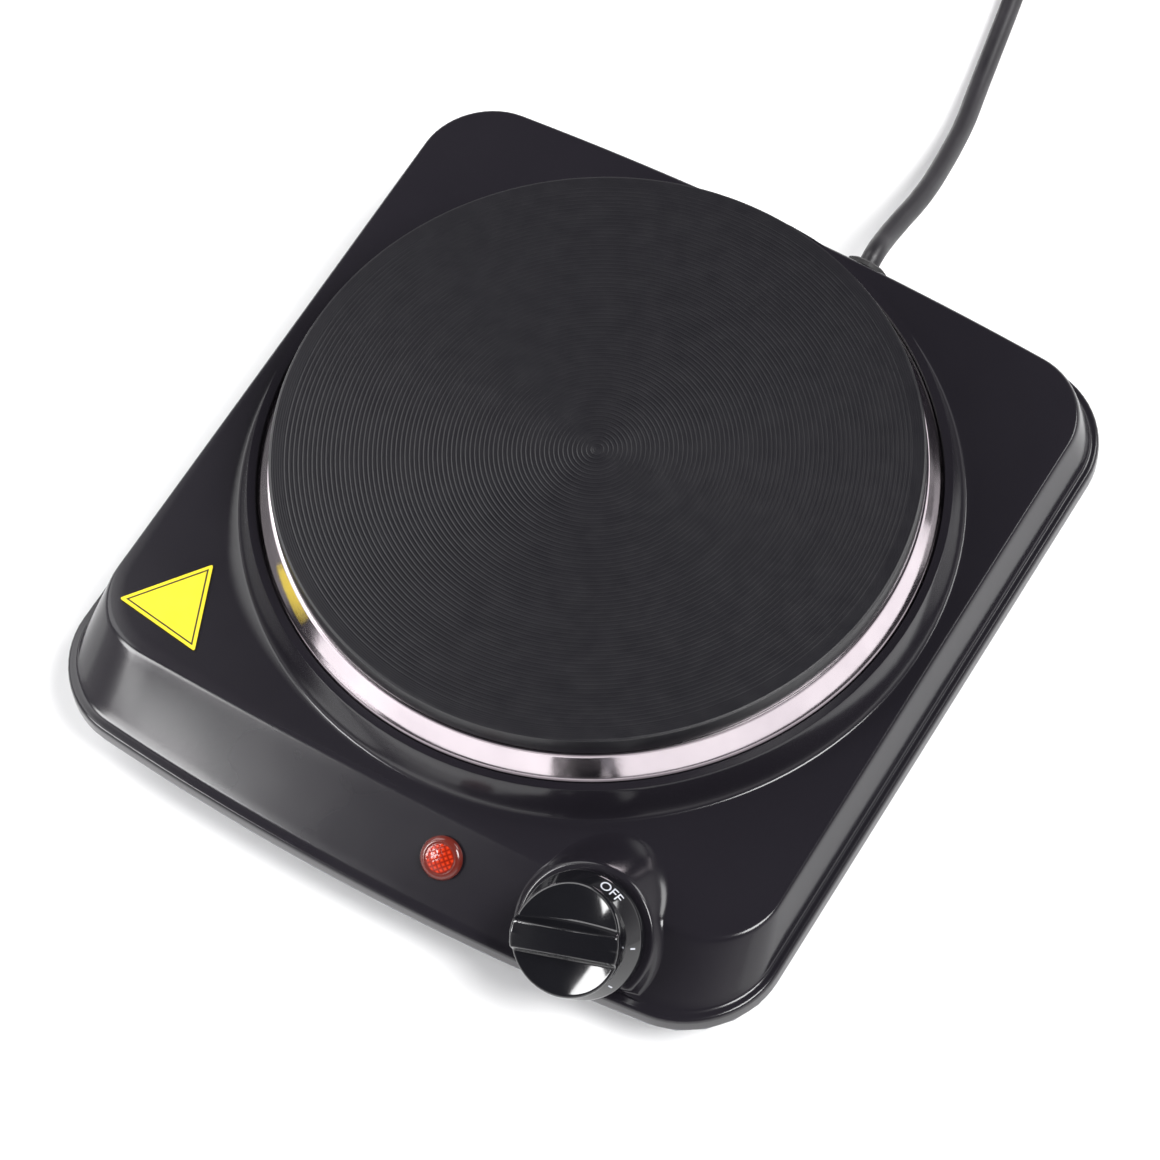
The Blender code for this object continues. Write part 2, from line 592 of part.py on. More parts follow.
def build_burner():
    """Cast-iron plate, trim ring, reflector, clamp bar and the stud that pulls them down."""
    seat_z = TRIM_TOP_Z + SEAT_GAP
    under = PLATE_Z - PLATE_BODY
    web = PLATE_Z - PLATE_WEB
    hub = PLATE_Z - HUB_DROP
    wall = 6.0 * MM
    plate = turned("heating_plate", [
        (0.0, PLATE_Z), (PLATE_RADIUS - PLATE_CHAMFER, PLATE_Z),
        (PLATE_RADIUS, PLATE_Z - PLATE_CHAMFER), (PLATE_RADIUS, seat_z),
        (CASTING_RADIUS, seat_z), (CASTING_RADIUS, under), (CASTING_RADIUS - wall, under),
        (CASTING_RADIUS - wall, web), (HUB_RADIUS + 2.0 * MM, web), (HUB_RADIUS, hub), (0.0, hub),
    ], CAST_IRON, BURNER, steps=48)
    stud_bore = cylinder("stud_bore", STUD_RADIUS + HOLE_PLAY, hub - 2.0 * MM, web,
                         Matrix(), parent=BURNER, sides=16, cutter=True)
    combine(plate, stud_bore, "DIFFERENCE")

    lip = CASTING_RADIUS + HOLE_PLAY
    foot_z = BOSS_Z + SEAT_GAP
    turned("trim_ring", [
        (lip, TRIM_TOP_Z), (PLATE_RADIUS + 0.5 * MM, TRIM_TOP_Z),
        (TRIM_RADIUS, foot_z + TRIM_SHEET), (TRIM_RADIUS, foot_z),
        (TRIM_RADIUS - 1.2 * MM, foot_z), (PLATE_RADIUS, TRIM_TOP_Z - TRIM_SHEET),
        (lip, TRIM_TOP_Z - TRIM_SHEET),
    ], STAINLESS, BURNER, steps=48, closed=True)

    shield_top = hub - SEAT_GAP
    shield_low = shield_top - SHIELD_SHEET
    bore = STUD_RADIUS + HOLE_PLAY
    rim = CASTING_RADIUS - 2.0 * wall
    shield = turned("reflector_dish", [
        (bore, shield_top), (rim - 6.0 * MM, shield_top), (rim, shield_top + 4.0 * MM),
        (rim + 3.0 * MM, shield_top + 4.0 * MM), (rim + 3.0 * MM, shield_low + 4.0 * MM),
        (rim + 0.3 * MM, shield_low + 4.0 * MM), (rim - 5.7 * MM, shield_low), (bore, shield_low),
    ], GREY_STEEL, BURNER, steps=32, closed=True)
    for index, place in enumerate(terminal_places()):
        window = cylinder(f"terminal_window_{index}", BEAD_RADIUS + 1.0 * MM, shield_low - MM,
                          shield_top + MM, place, parent=BURNER, sides=16, cutter=True)
        combine(shield, window, "DIFFERENCE")

    bar_low = CLAMP_LOW
    end_z = BOSS_Z - SHEET - SEAT_GAP
    reach = TRIM_RADIUS - 1.5 * MM
    foot = reach - 3.5 * MM
    slope = CASTING_RADIUS - 14.0 * MM
    end_low = end_z - CLAMP_SHEET
    profile = [(slope, bar_low), (foot, end_low - 8.0 * MM), (foot + MM, end_low),
               (reach, end_low), (reach, end_z), (foot - 0.5 * MM, end_z),
               (foot - 1.2 * MM, end_low - 4.0 * MM), (slope - 2.0 * MM, bar_low + CLAMP_SHEET)]
    outline = [(-x, z) for x, z in reversed(profile)][:-1] + [(-slope, bar_low)] + profile
    bar = sheet_outline("clamp_bar", outline, CLAMP_WIDTH,
                        move(y=CLAMP_WIDTH / 2.0) @ turn(90.0, "X"), ZINC, BURNER)
    bar_hole = cylinder("clamp_hole", bore, bar_low - MM, bar_low + CLAMP_SHEET + MM, Matrix(),
                        parent=BURNER, sides=16, cutter=True)
    combine(bar, bar_hole, "DIFFERENCE")

    washer_top = bar_low - SEAT_GAP
    washer_low = washer_top - 1.2 * MM
    turned("clamp_washer", [(bore, washer_top), (7.0 * MM, washer_top), (7.0 * MM, washer_low),
                            (bore, washer_low)], ZINC, BURNER, steps=20, closed=True)
    nut_top = washer_low - SEAT_GAP
    nut = cylinder("clamp_nut", 5.8 * MM, nut_top - 5.0 * MM, nut_top, Matrix(), ZINC, BURNER,
                   sides=6)
    thread = cylinder("nut_thread", STUD_RADIUS + SEAT_GAP, nut_top - 6.0 * MM, nut_top + MM,
                      Matrix(), parent=BURNER, sides=16, cutter=True)
    combine(nut, thread, "DIFFERENCE")
    turned("centre_stud", [
        (0.0, web - 2.0 * SEAT_GAP), (STUD_RADIUS - 0.5 * MM, web - 2.0 * SEAT_GAP),
        (STUD_RADIUS, web - 1.2 * MM), (STUD_RADIUS, nut_top - 7.0 * MM),
        (STUD_RADIUS - 0.6 * MM, nut_top - 7.6 * MM), (0.0, nut_top - 7.6 * MM),
    ], ZINC, BURNER, steps=16)


def terminal_places():
    """Where the element's three terminals come out of the plate's underside."""
    ring = CASTING_RADIUS * 0.42
    return [turn(angle, "Z") @ move(y=-ring) for angle in (-24.0, 0.0, 24.0)]


def build_terminals():
    """Ceramic beads and steel pins of the element buried in the casting."""
    top = PLATE_Z - PLATE_WEB - SEAT_GAP
    bottom = PLATE_Z - HUB_DROP - 4.0 * MM
    for index, place in enumerate(terminal_places(), start=1):
        bore = PIN_RADIUS + SEAT_GAP
        turned(f"terminal_bead_{index}", [
            (bore, top), (BEAD_RADIUS, top), (BEAD_RADIUS, bottom), (bore, bottom),
        ], CERAMIC, BURNER, place, steps=14, closed=True)
        cylinder(f"terminal_pin_{index}", PIN_RADIUS, bottom - 5.0 * MM, top, place, ZINC,
                 BURNER, sides=10)


# Controls ------------------------------------------------------------------------------------
def build_thermostat():
    """Thermostat behind the pad: body, threaded bush, nut, shaft and adjusting pin."""
    under_pad = PAD_RISE - SHEET - SEAT_GAP
    body_top = under_pad - THERMO_PLATE - SEAT_GAP
    bore = SHAFT_RADIUS + HOLE_PLAY
    body = box("thermostat_body", (THERMO_WIDTH, THERMO_WIDTH, THERMO_DEPTH),
               move(z=body_top - THERMO_DEPTH / 2.0), CERAMIC, KNOB_AXIS, bevel=0.8 * MM)
    cavity = cylinder("thermostat_bore", bore, body_top - 0.8 * THERMO_DEPTH, body_top + MM,
                      Matrix(), parent=KNOB_AXIS, sides=16, cutter=True)
    combine(body, cavity, "DIFFERENCE")
    turned("thermostat_bush", [
        (bore, PAD_RISE + BUSH_STAND - 1.0 * MM), (BUSH_RADIUS, PAD_RISE + BUSH_STAND - 1.0 * MM),
        (BUSH_RADIUS, under_pad), (BUSH_RADIUS + 4.0 * MM, under_pad),
        (BUSH_RADIUS + 4.0 * MM, under_pad - THERMO_PLATE), (bore, under_pad - THERMO_PLATE),
    ], BRASS, KNOB_AXIS, steps=20, closed=True)
    nut_low = PAD_RISE + SEAT_GAP
    nut = cylinder("bush_nut", 7.4 * MM, nut_low, nut_low + 1.8 * MM, Matrix(), BRASS,
                   KNOB_AXIS, sides=6)
    nut_bore = cylinder("bush_nut_bore", BUSH_RADIUS + SEAT_GAP, nut_low - MM, nut_low + 4.0 * MM,
                        Matrix(), parent=KNOB_AXIS, sides=20, cutter=True)
    combine(nut, nut_bore, "DIFFERENCE")

    shaft_top = KNOB_BASE + 11.0 * MM
    shaft_low = body_top - 0.45 * THERMO_DEPTH
    shaft = cylinder("thermostat_shaft", SHAFT_RADIUS, shaft_low, shaft_top, Matrix(), ZINC,
                     KNOB_AXIS, sides=16)
    flat = box("shaft_flat", (8.0 * MM, SHAFT_FLAT * 2.0, 9.0 * MM),
               move(y=-SHAFT_RADIUS, z=shaft_top - 4.5 * MM + 0.5 * MM), parent=KNOB_AXIS,
               cutter=True)
    combine(shaft, flat, "DIFFERENCE")
    cylinder("adjusting_pin", 1.5 * MM, body_top - 0.8 * THERMO_DEPTH + PIN_TRAVEL + SEAT_GAP,
             shaft_low - SEAT_GAP, Matrix(), BRASS, KNOB_AXIS, sides=12)


def build_knob():
    """Round knob with a printed skirt, a domed cap and a grip bar across it."""
    base = KNOB_BASE
    top = base + KNOB_HEIGHT
    floor = base + 2.2 * MM
    knob = turned("control_knob", [
        (0.0, top), (CAP_RADIUS * 0.72, top - 0.1 * MM), (CAP_RADIUS - 1.6 * MM, top - 0.6 * MM),
        (CAP_RADIUS - 0.4 * MM, top - 1.8 * MM), (CAP_RADIUS, top - 3.4 * MM),
        (CAP_RADIUS - 0.3 * MM, base + SKIRT_HEIGHT), (SKIRT_RADIUS - 0.9 * MM, base + 3.2 * MM),
        (SKIRT_RADIUS, base + 2.0 * MM), (SKIRT_RADIUS, base), (SKIRT_RADIUS - 2.0 * MM, base),
        (SKIRT_RADIUS - 3.4 * MM, floor + 1.2 * MM), (0.0, floor + 1.2 * MM),
    ], GLOSS_BLACK, KNOB_AXIS, steps=40)
    for side in (-1, 1):
        scoop = cylinder(
            f"grip_scoop_{side}", 30.0 * MM, -20.0 * MM, 20.0 * MM,
            turn(GRIP_ANGLE, "Z") @ move(y=side * (GRIP_WIDTH / 2.0 + 10.0 * MM),
                                         z=GRIP_FLOOR + 30.0 * MM + 0.8 * MM)
            @ turn(side * 12.0, "X") @ turn(90.0, "Y"),
            parent=KNOB_AXIS, sides=48, cutter=True)
        keep = box(f"grip_side_{side}", (50.0 * MM, 24.0 * MM, 60.0 * MM),
                   turn(GRIP_ANGLE, "Z") @ move(y=side * (GRIP_WIDTH / 2.0 + 12.0 * MM),
                                                z=GRIP_FLOOR + 28.0 * MM)
                   @ turn(side * -7.0, "X"), parent=KNOB_AXIS, cutter=True)
        combine(scoop, keep, "INTERSECT")
        combine(knob, scoop, "DIFFERENCE")
    bore_top = base + 11.5 * MM
    sleeve = cylinder("knob_bore", SHAFT_RADIUS + 0.9 * MM, base, bore_top, Matrix(),
                      parent=KNOB_AXIS, sides=16, cutter=True)
    combine(knob, sleeve, "DIFFERENCE")
    clip_low = base + 4.5 * MM
    turned("knob_clip", [
        (SHAFT_RADIUS + 0.2 * MM, bore_top - MM), (SHAFT_RADIUS + 0.7 * MM, bore_top - MM),
        (SHAFT_RADIUS + 0.7 * MM, clip_low), (SHAFT_RADIUS + 0.2 * MM, clip_low),
    ], ZINC, KNOB_AXIS, steps=16, closed=True)


def build_lamp():
    """Neon indicator: clear red lens, its body behind the panel and a push-on clip."""
    neck_low = -SHEET - 5.0 * MM
    turned("indicator_lens", [
        (0.0, 3.2 * MM), (LENS_RADIUS * 0.5, 3.0 * MM), (LENS_RADIUS * 0.8, 2.3 * MM),
        (LENS_RADIUS, 1.2 * MM), (LENS_RADIUS, 0.5 * MM), (LENS_NECK, 0.5 * MM),
        (LENS_NECK, neck_low), (0.0, neck_low),
    ], RED_LENS, LAMP_AXIS, steps=28)
    clip_top = -SHEET - 0.5 * MM
    turned("lamp_clip", [
        (LENS_NECK + SEAT_GAP, clip_top), (LENS_NECK + 2.6 * MM, clip_top),
        (LENS_NECK + 2.6 * MM, clip_top - 0.7 * MM), (LENS_NECK + SEAT_GAP, clip_top - 0.7 * MM),
    ], ZINC, LAMP_AXIS, steps=20, closed=True)
    body_top = neck_low - SEAT_GAP
    cylinder("lamp_body", LENS_NECK - 0.6 * MM, body_top - 6.0 * MM, body_top, Matrix(),
             WHITE_PLASTIC, LAMP_AXIS, sides=16)


def build_sticker():
    """Plain triangular hot-surface label at the front left of the top panel."""
    corner = 2.0 * MM
    radius = STICKER_SIDE / math.sqrt(3.0) - corner
    points = []
    for index in range(3):
        heading = 90.0 + 120.0 * index
        centre = Vector((radius * math.cos(math.radians(heading)),
                         radius * math.sin(math.radians(heading))))
        for step in (-60.0, -20.0, 20.0, 60.0):
            angle = math.radians(heading + step)
            points.append((centre.x + corner * math.cos(angle), centre.y + corner * math.sin(angle)))
    centre = Vector((STICKER_INSET.x - TOP_HALF_WIDTH, STICKER_INSET.y - TOP_FRONT))
    sheet_outline("hot_surface_label", points, STICKER_SHEET,
                  move(centre.x, centre.y, PANEL_Z + SEAT_GAP) @ turn(STICKER_TURN, "Z"),
                  YELLOW_LABEL, BURNER)


# Electrics -----------------------------------------------------------------------------------
def build_electrics():
    """Terminal block, cord clamp, earth screw, thermal fuse and the wires between them."""
    block_z = FLOOR_Z + SEAT_GAP + BLOCK_SIZE.z / 2.0
    block = box("terminal_block", BLOCK_SIZE, move(BLOCK_CENTRE.x, BLOCK_CENTRE.y, block_z),
                CERAMIC, BURNER, bevel=0.6 * MM)
    for index in range(3):
        across = BLOCK_CENTRE.x + (index - 1) * 9.0 * MM
        well = cylinder(f"block_well_{index}", 2.2 * MM, block_z + 1.0 * MM, block_z + 8.0 * MM,
                        move(across, BLOCK_CENTRE.y), parent=BURNER, sides=12, cutter=True)
        combine(block, well, "DIFFERENCE")
    clamp_y = rear_wall_reach(CORD_EXIT.z) - 25.0 * MM
    post = 6.0 * MM
    level = CORD_EXIT.z - CLAMP_DROP
    clamp_top = level - CORD_RADIUS - SEAT_GAP
    box("cord_saddle", (20.0 * MM, 7.0 * MM, clamp_top - FLOOR_Z - SEAT_GAP),
        move(CORD_EXIT.x, clamp_y, (clamp_top + FLOOR_Z + SEAT_GAP) / 2.0), WHITE_PLASTIC,
        BURNER, bevel=0.6 * MM)
    over = level + CORD_RADIUS + SEAT_GAP
    box("cord_strap", (20.0 * MM, 6.0 * MM, 1.6 * MM),
        move(CORD_EXIT.x, clamp_y, over + 0.8 * MM), WHITE_PLASTIC, BURNER, bevel=0.4 * MM)
    for side, name in ((-1, "strap_screw_left"), (1, "strap_screw_right")):
        head = over + 1.6 * MM + SEAT_GAP
        turned(name, [
            (0.0, head + 1.4 * MM), (2.2 * MM, head + 1.4 * MM), (2.8 * MM, head + 0.6 * MM),
            (2.8 * MM, head), (0.0, head),
        ], ZINC, BURNER, move(CORD_EXIT.x + side * (post + 0.5 * MM), clamp_y), steps=12)
    fuse_z = CLAMP_LOW - SEAT_GAP - 2.0 * MM
    box("thermal_fuse", (16.0 * MM, 7.0 * MM, 4.0 * MM), move(-30.0 * MM, 0.0, fuse_z), CERAMIC,
        BURNER, bevel=0.5 * MM)
    box("fuse_lead", (1.6 * MM, 20.0 * MM, 0.8 * MM), move(-30.0 * MM, -14.0 * MM, fuse_z), ZINC,
        BURNER)
    cylinder("earth_screw", 3.2 * MM, FLOOR_Z + SEAT_GAP, FLOOR_Z + 3.2 * MM,
             move(-12.0 * MM, 70.0 * MM), BRASS, BURNER, sides=12)
    build_wires(block_z + BLOCK_SIZE.z / 2.0)


def build_wires(block_top):
    """Silicone-sleeved wires that stay clear of everything but their own ends."""
    radius = 1.3 * MM
    low = FLOOR_Z + radius + 2.0 * SEAT_GAP
    front = BLOCK_CENTRE.y - BLOCK_SIZE.y / 2.0 - 0.5 * MM
    lead = front - 4.0 * MM
    pins = [place.translation for place in terminal_places()]
    pin_low = PLATE_Z - HUB_DROP - 9.0 * MM - SEAT_GAP - radius
    knob = Vector((KNOB_X, KNOB_POINT.y + 22.0 * MM, 0.0))
    across = BLOCK_CENTRE.x
    lift = block_top - BLOCK_SIZE.z / 2.0
    routes = {
        "wire_live": (RED_WIRE, [
            (across + 9.0 * MM, front, lift), (across + 9.0 * MM, lead, lift),
            (across + 11.0 * MM, front - 14.0 * MM, low),
            (across + 24.0 * MM, 20.0 * MM, low), (across + 28.0 * MM, -40.0 * MM, low),
            (knob.x + 2.0 * MM, knob.y + 4.0 * MM, low + 2.0 * MM)]),
        "wire_switched": (RED_WIRE, [
            (knob.x - 6.0 * MM, knob.y + 4.0 * MM, low + 2.0 * MM),
            (knob.x - 24.0 * MM, knob.y + 22.0 * MM, low),
            (pins[2].x + 6.0 * MM, pins[2].y - 16.0 * MM, low + 6.0 * MM),
            (pins[2].x, pins[2].y, pin_low)]),
        "wire_neutral": (BLUE_WIRE, [
            (across, front, lift), (across, lead, lift),
            (across - 3.0 * MM, front - 14.0 * MM, low),
            (across - 14.0 * MM, 14.0 * MM, low), (across - 24.0 * MM, -12.0 * MM, low),
            (pins[1].x + 4.0 * MM, pins[1].y + 10.0 * MM, low + 5.0 * MM),
            (pins[1].x, pins[1].y, pin_low)]),
        "wire_earth": (GREEN_WIRE, [
            (across - 9.0 * MM, front, lift), (across - 9.0 * MM, lead, lift),
            (across - 20.0 * MM, front - 12.0 * MM, low), (8.0 * MM, front - 6.0 * MM, low),
            (-3.0 * MM, 64.0 * MM, low), (-8.0 * MM, 68.0 * MM, low)]),
    }
    for name, (material, route) in routes.items():
        tube(name, route, radius, material, BURNER, spacing=10.0 * MM)


# Cord ----------------------------------------------------------------------------------------
def behind_wall(points):
    """Points in millimetres, their second number counted from the rear wall."""
    wall = rear_wall_reach(CORD_EXIT.z)
    return [Vector((x, y, z)) * MM + Vector((0.0, wall, 0.0)) for x, y, z in points]


def cord_route():
    """Points of the cord from its gland, down to the table and on to the coil."""
    start = GLAND_STAND + SEAT_GAP
    return [along_gland(start), along_gland(start + 3.0 * MM)] + behind_wall((
        (25.0, 13.3, 28.6), (24.7, 23.4, 25.0), (24.6, 33.5, 21.3), (23.9, 43.6, 17.7),
        (22.6, 53.7, 14.3), (21.0, 64.0, 10.9), (19.1, 74.2, 8.0), (15.9, 87.8, 5.3),
        (12.2, 105.8, 4.1), (8.5, 124.8, 4.1), (5.1, 139.6, 4.4), (1.9, 148.8, 4.5),
    ))


def plug_lead_route():
    """Points of the cord from the top of the coil to the plug's tail."""
    return behind_wall((
        (-67.6, 197.0, 11.6), (-72.5, 197.0, 14.2), (-77.0, 197.0, 17.3), (-81.5, 197.0, 18.4),
        (-86.0, 197.0, 18.4),
    ))


def build_cord():
    """Gland, cord, coil, tie and plug; the coil lies on the table behind the appliance."""
    flange = 1.8 * MM
    coil_y = rear_wall_reach(CORD_EXIT.z) + COIL_BEHIND
    turned("cord_gland", [
        (CORD_RADIUS + SEAT_GAP, GLAND_STAND), (GLAND_NECK + 0.6 * MM, GLAND_STAND),
        (GLAND_FLANGE, GLAND_STAND - 0.6 * MM), (GLAND_FLANGE, GLAND_STAND - flange),
        (GLAND_NECK, GLAND_STAND - flange), (GLAND_NECK, -10.0 * MM),
        (CORD_RADIUS + SEAT_GAP, -10.0 * MM),
    ], RUBBER, BURNER, gland_place(), steps=24, closed=True)
    reach = rear_wall_reach(CORD_EXIT.z)
    level = CORD_EXIT.z - CLAMP_DROP
    tube("cord_inside", [
        along_gland(GLAND_STAND - 1.2 * MM), along_gland(-4.0 * MM), along_gland(-10.0 * MM),
        along_gland(-13.0 * MM), (CORD_EXIT.x, reach - 17.5 * MM, level + 0.3 * MM),
        (CORD_EXIT.x, reach - 22.0 * MM, level), (CORD_EXIT.x, reach - 29.0 * MM, level)],
        CORD_RADIUS, CORD_BLACK, BURNER, spacing=4.0 * MM)
    tube("power_cord", cord_route(), CORD_RADIUS, CORD_BLACK, BURNER, spacing=6.5 * MM,
         resolution=3)
    half = COIL_WIDTH / 2.0
    bevel = 2.0 * MM
    top, bottom = COIL_BASE + COIL_HEIGHT, COIL_BASE
    outside, inside = COIL_RADIUS + half, COIL_RADIUS - half
    turned("cord_coil", [
        (inside + bevel, top), (outside - bevel, top), (outside, top - bevel),
        (outside, bottom + bevel), (outside - bevel, bottom), (inside + bevel, bottom),
        (inside, bottom + bevel), (inside, top - bevel),
    ], CORD_BLACK, BURNER, move(COIL_SIDE, coil_y), steps=40, closed=True)
    strap = 0.9 * MM
    tie_place = (move(COIL_SIDE, coil_y) @ turn(235.0, "Z")
                 @ move(COIL_RADIUS, 0.0, COIL_BASE + COIL_HEIGHT / 2.0))
    tie_size = Vector((COIL_WIDTH + 2.0 * SEAT_GAP, 5.0 * MM, COIL_HEIGHT + 2.0 * SEAT_GAP))
    band = box("cord_tie", tie_size + Vector((2.0 * strap, 0.0, 2.0 * strap)), tie_place, CORD_BLACK,
               BURNER)
    band_hole = box("tie_hole", tie_size + Vector((0.0, 2.0 * MM, 0.0)), tie_place,
                    parent=BURNER, cutter=True)
    combine(band, band_hole, "DIFFERENCE")
    tube("plug_lead", plug_lead_route(), CORD_RADIUS, CORD_BLACK, BURNER, spacing=5.0 * MM, resolution=3)
    build_plug()


def centre_body():
    """Set the burner's axis back so that the origin lies under the middle of the body."""
    cord = ("power_cord", "cord_coil", "cord_tie", "plug_lead", "plug_body", "plug_pin_left",
            "plug_pin_right")
    bpy.context.view_layer.update()
    graph = bpy.context.evaluated_depsgraph_get()
    reach = []
    for item in PARTS.objects:
        if item.type != "EMPTY" and item.name not in cord:
            shape = item.evaluated_get(graph)
            reach += [(shape.matrix_world @ vert.co).y for vert in shape.to_mesh().vertices]
            shape.to_mesh_clear()
    BURNER.location.y = -(min(reach) + max(reach)) / 2.0


def build_plug():
    """Moulded two-pin plug with side earth contacts, lying on its side past the coil."""
    tail = plug_lead_route()[-1] - Vector((SEAT_GAP, 0.0, 0.0))
    place = move(*tail) @ turn(-90.0, "Y")
    length = 56.0 * MM
    turned("plug_body", [
        (0.0, length), (PLUG_RADIUS - 0.8 * MM, length), (PLUG_RADIUS, length - 0.8 * MM),
        (PLUG_RADIUS, length - 16.0 * MM), (PLUG_RADIUS - 3.0 * MM, length - 24.0 * MM),
        (8.0 * MM, 24.0 * MM), (6.4 * MM, 16.0 * MM), (4.4 * MM, 0.0), (0.0, 0.0),
    ], RUBBER, BURNER, place, steps=28)
    for side, name in ((-1, "plug_pin_left"), (1, "plug_pin_right")):
        turned(name, [
            (0.0, length + SEAT_GAP + 19.0 * MM), (1.4 * MM, length + SEAT_GAP + 19.0 * MM),
            (2.4 * MM, length + SEAT_GAP + 17.6 * MM), (2.4 * MM, length + SEAT_GAP),
            (0.0, length + SEAT_GAP),
        ], BRASS, BURNER, place @ move(y=side * 9.5 * MM), steps=12)


# Build ---------------------------------------------------------------------------------------
clear_scene()
PARTS = new_collection("hot_plate")
CUTTERS = new_collection("cutters")
BURNER = new_empty("burner_axis")
KNOB_AXIS = new_empty("knob_axis", KNOB_POINT, KNOB_TILT, BURNER)
LAMP_AXIS = new_empty("lamp_axis", LAMP_POINT, LAMP_TILT, BURNER)

BLACK_COAT = finish("black_coated_steel", (0.012, 0.011, 0.014), 0.28, 0.0)
GREY_STEEL = finish("galvanised_steel", (0.30, 0.30, 0.31), 0.45, 1.0)
CAST_IRON = finish("black_cast_iron", (0.014, 0.013, 0.016), 0.5, 0.0)
STAINLESS = finish("polished_stainless", (0.62, 0.60, 0.59), 0.12, 1.0)
ZINC = finish("zinc_plated_steel", (0.55, 0.55, 0.56), 0.35, 1.0)
BRASS = finish("brass", (0.60, 0.44, 0.18), 0.3, 1.0)
CERAMIC = finish("steatite_ceramic", (0.74, 0.72, 0.66), 0.5)
GLOSS_BLACK = finish("gloss_black_plastic", (0.01, 0.01, 0.012), 0.12)
RED_LENS = finish("red_lens", (0.60, 0.045, 0.01), 0.15)
WHITE_PLASTIC = finish("white_plastic", (0.72, 0.72, 0.70), 0.45)
RUBBER = finish("black_rubber", (0.018, 0.018, 0.018), 0.7)
CORD_BLACK = finish("cord_sheath", (0.016, 0.015, 0.016), 0.45)
YELLOW_LABEL = finish("yellow_label", (0.85, 0.72, 0.03), 0.4)
RED_WIRE = finish("brown_wire", (0.16, 0.05, 0.02), 0.5)
BLUE_WIRE = finish("blue_wire", (0.02, 0.08, 0.40), 0.5)
GREEN_WIRE = finish("green_yellow_wire", (0.30, 0.42, 0.04), 0.5)

build_housing()
build_base()
build_feet()
build_burner()
build_terminals()
build_thermostat()
build_knob()
build_lamp()
build_sticker()
build_electrics()
build_cord()
centre_body()
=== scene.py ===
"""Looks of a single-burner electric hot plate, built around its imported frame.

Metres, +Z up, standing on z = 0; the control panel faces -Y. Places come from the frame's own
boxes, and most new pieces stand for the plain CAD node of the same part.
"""

import json
import logging
import math
from dataclasses import dataclass
from enum import Enum
from typing import Sequence

import bmesh
import bpy
from mathutils import Matrix, Vector
from mathutils.bvhtree import BVHTree


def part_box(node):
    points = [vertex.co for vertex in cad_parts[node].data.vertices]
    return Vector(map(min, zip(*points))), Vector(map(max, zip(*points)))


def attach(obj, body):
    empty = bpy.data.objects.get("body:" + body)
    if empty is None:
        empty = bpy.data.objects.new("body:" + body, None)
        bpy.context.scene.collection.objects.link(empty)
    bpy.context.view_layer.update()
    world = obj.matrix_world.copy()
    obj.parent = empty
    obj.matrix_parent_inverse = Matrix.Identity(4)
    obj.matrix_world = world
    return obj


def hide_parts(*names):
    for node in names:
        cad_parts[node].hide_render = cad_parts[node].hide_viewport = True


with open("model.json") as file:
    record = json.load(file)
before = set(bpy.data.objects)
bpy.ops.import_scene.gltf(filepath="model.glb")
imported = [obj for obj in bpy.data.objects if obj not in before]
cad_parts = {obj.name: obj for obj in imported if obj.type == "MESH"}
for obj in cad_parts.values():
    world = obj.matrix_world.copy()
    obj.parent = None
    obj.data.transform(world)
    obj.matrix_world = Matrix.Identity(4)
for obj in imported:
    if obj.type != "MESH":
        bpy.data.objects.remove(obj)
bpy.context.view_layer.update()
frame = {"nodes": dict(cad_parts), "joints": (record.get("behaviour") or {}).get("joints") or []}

LOG = logging.getLogger("hot_plate")
MM = 0.001
# Points of one mesh that lie closer than this are welded.
WELD = 0.01 * MM
Ring = list[Vector]


class Body(Enum):
    """The bodies that a piece can ride on."""

    BODY = "body"
    KNOB = "knob"


# Small tools ---------------------------------------------------------------------------------
def linear(hex_colour: str) -> tuple[float, float, float, float]:
    """Turn an sRGB hex colour into linear RGBA.

    Args:
        hex_colour: Six hex digits after a hash sign.

    Returns:
        Linear red, green, blue and an alpha of one.
    """
    parts = [int(hex_colour[i:i + 2], 16) / 255.0 for i in (1, 3, 5)]
    red, green, blue = (
        part / 12.92 if part <= 0.04045 else ((part + 0.055) / 1.055) ** 2.4 for part in parts)
    return (red, green, blue, 1.0)


def add_node(tree: bpy.types.NodeTree, kind: str,
             inputs: dict[int | str, object] | None = None,
             **settings: object) -> bpy.types.Node:
    """Add a node with its settings and links.

    Args:
        tree: The node tree that the node joins.
        kind: The node's type name.
        inputs: Values or output sockets for its inputs, by name or number.
        settings: The node's own properties.

    Returns:
        The new node.
    """
    node = tree.nodes.new(kind)
    for name, value in settings.items():
        setattr(node, name, value)
    for key, value in (inputs or {}).items():
        if isinstance(value, bpy.types.NodeSocket):
            tree.links.new(value, node.inputs[key])
        else:
            node.inputs[key].default_value = value
    return node


def start_clean() -> None:
    """Leave edit mode and deselect every object."""
    if bpy.context.object and bpy.context.object.mode != "OBJECT":
        bpy.ops.object.mode_set(mode="OBJECT")
    bpy.ops.object.select_all(action="DESELECT")


def only(piece: bpy.types.Object) -> None:
    """Select one piece and make it the active one.

    Args:
        piece: The piece to select.
    """
    start_clean()
    piece.select_set(True)
    bpy.context.view_layer.objects.active = piece


def named(name: str) -> bpy.types.Object:
    """Name the piece that was made last, and its mesh.

    Args:
        name: Its name.

    Returns:
        The piece.
    """
    piece = bpy.context.object
    piece.name = piece.data.name = name
    return piece


def close_seams() -> None:
    """Weld the edited mesh's doubled points, turn its faces outwards and end the edit."""
    bpy.ops.mesh.select_all(action="SELECT")
    bpy.ops.mesh.remove_doubles(threshold=WELD)
    bpy.ops.mesh.normals_make_consistent(inside=False)
    bpy.ops.object.mode_set(mode="OBJECT")


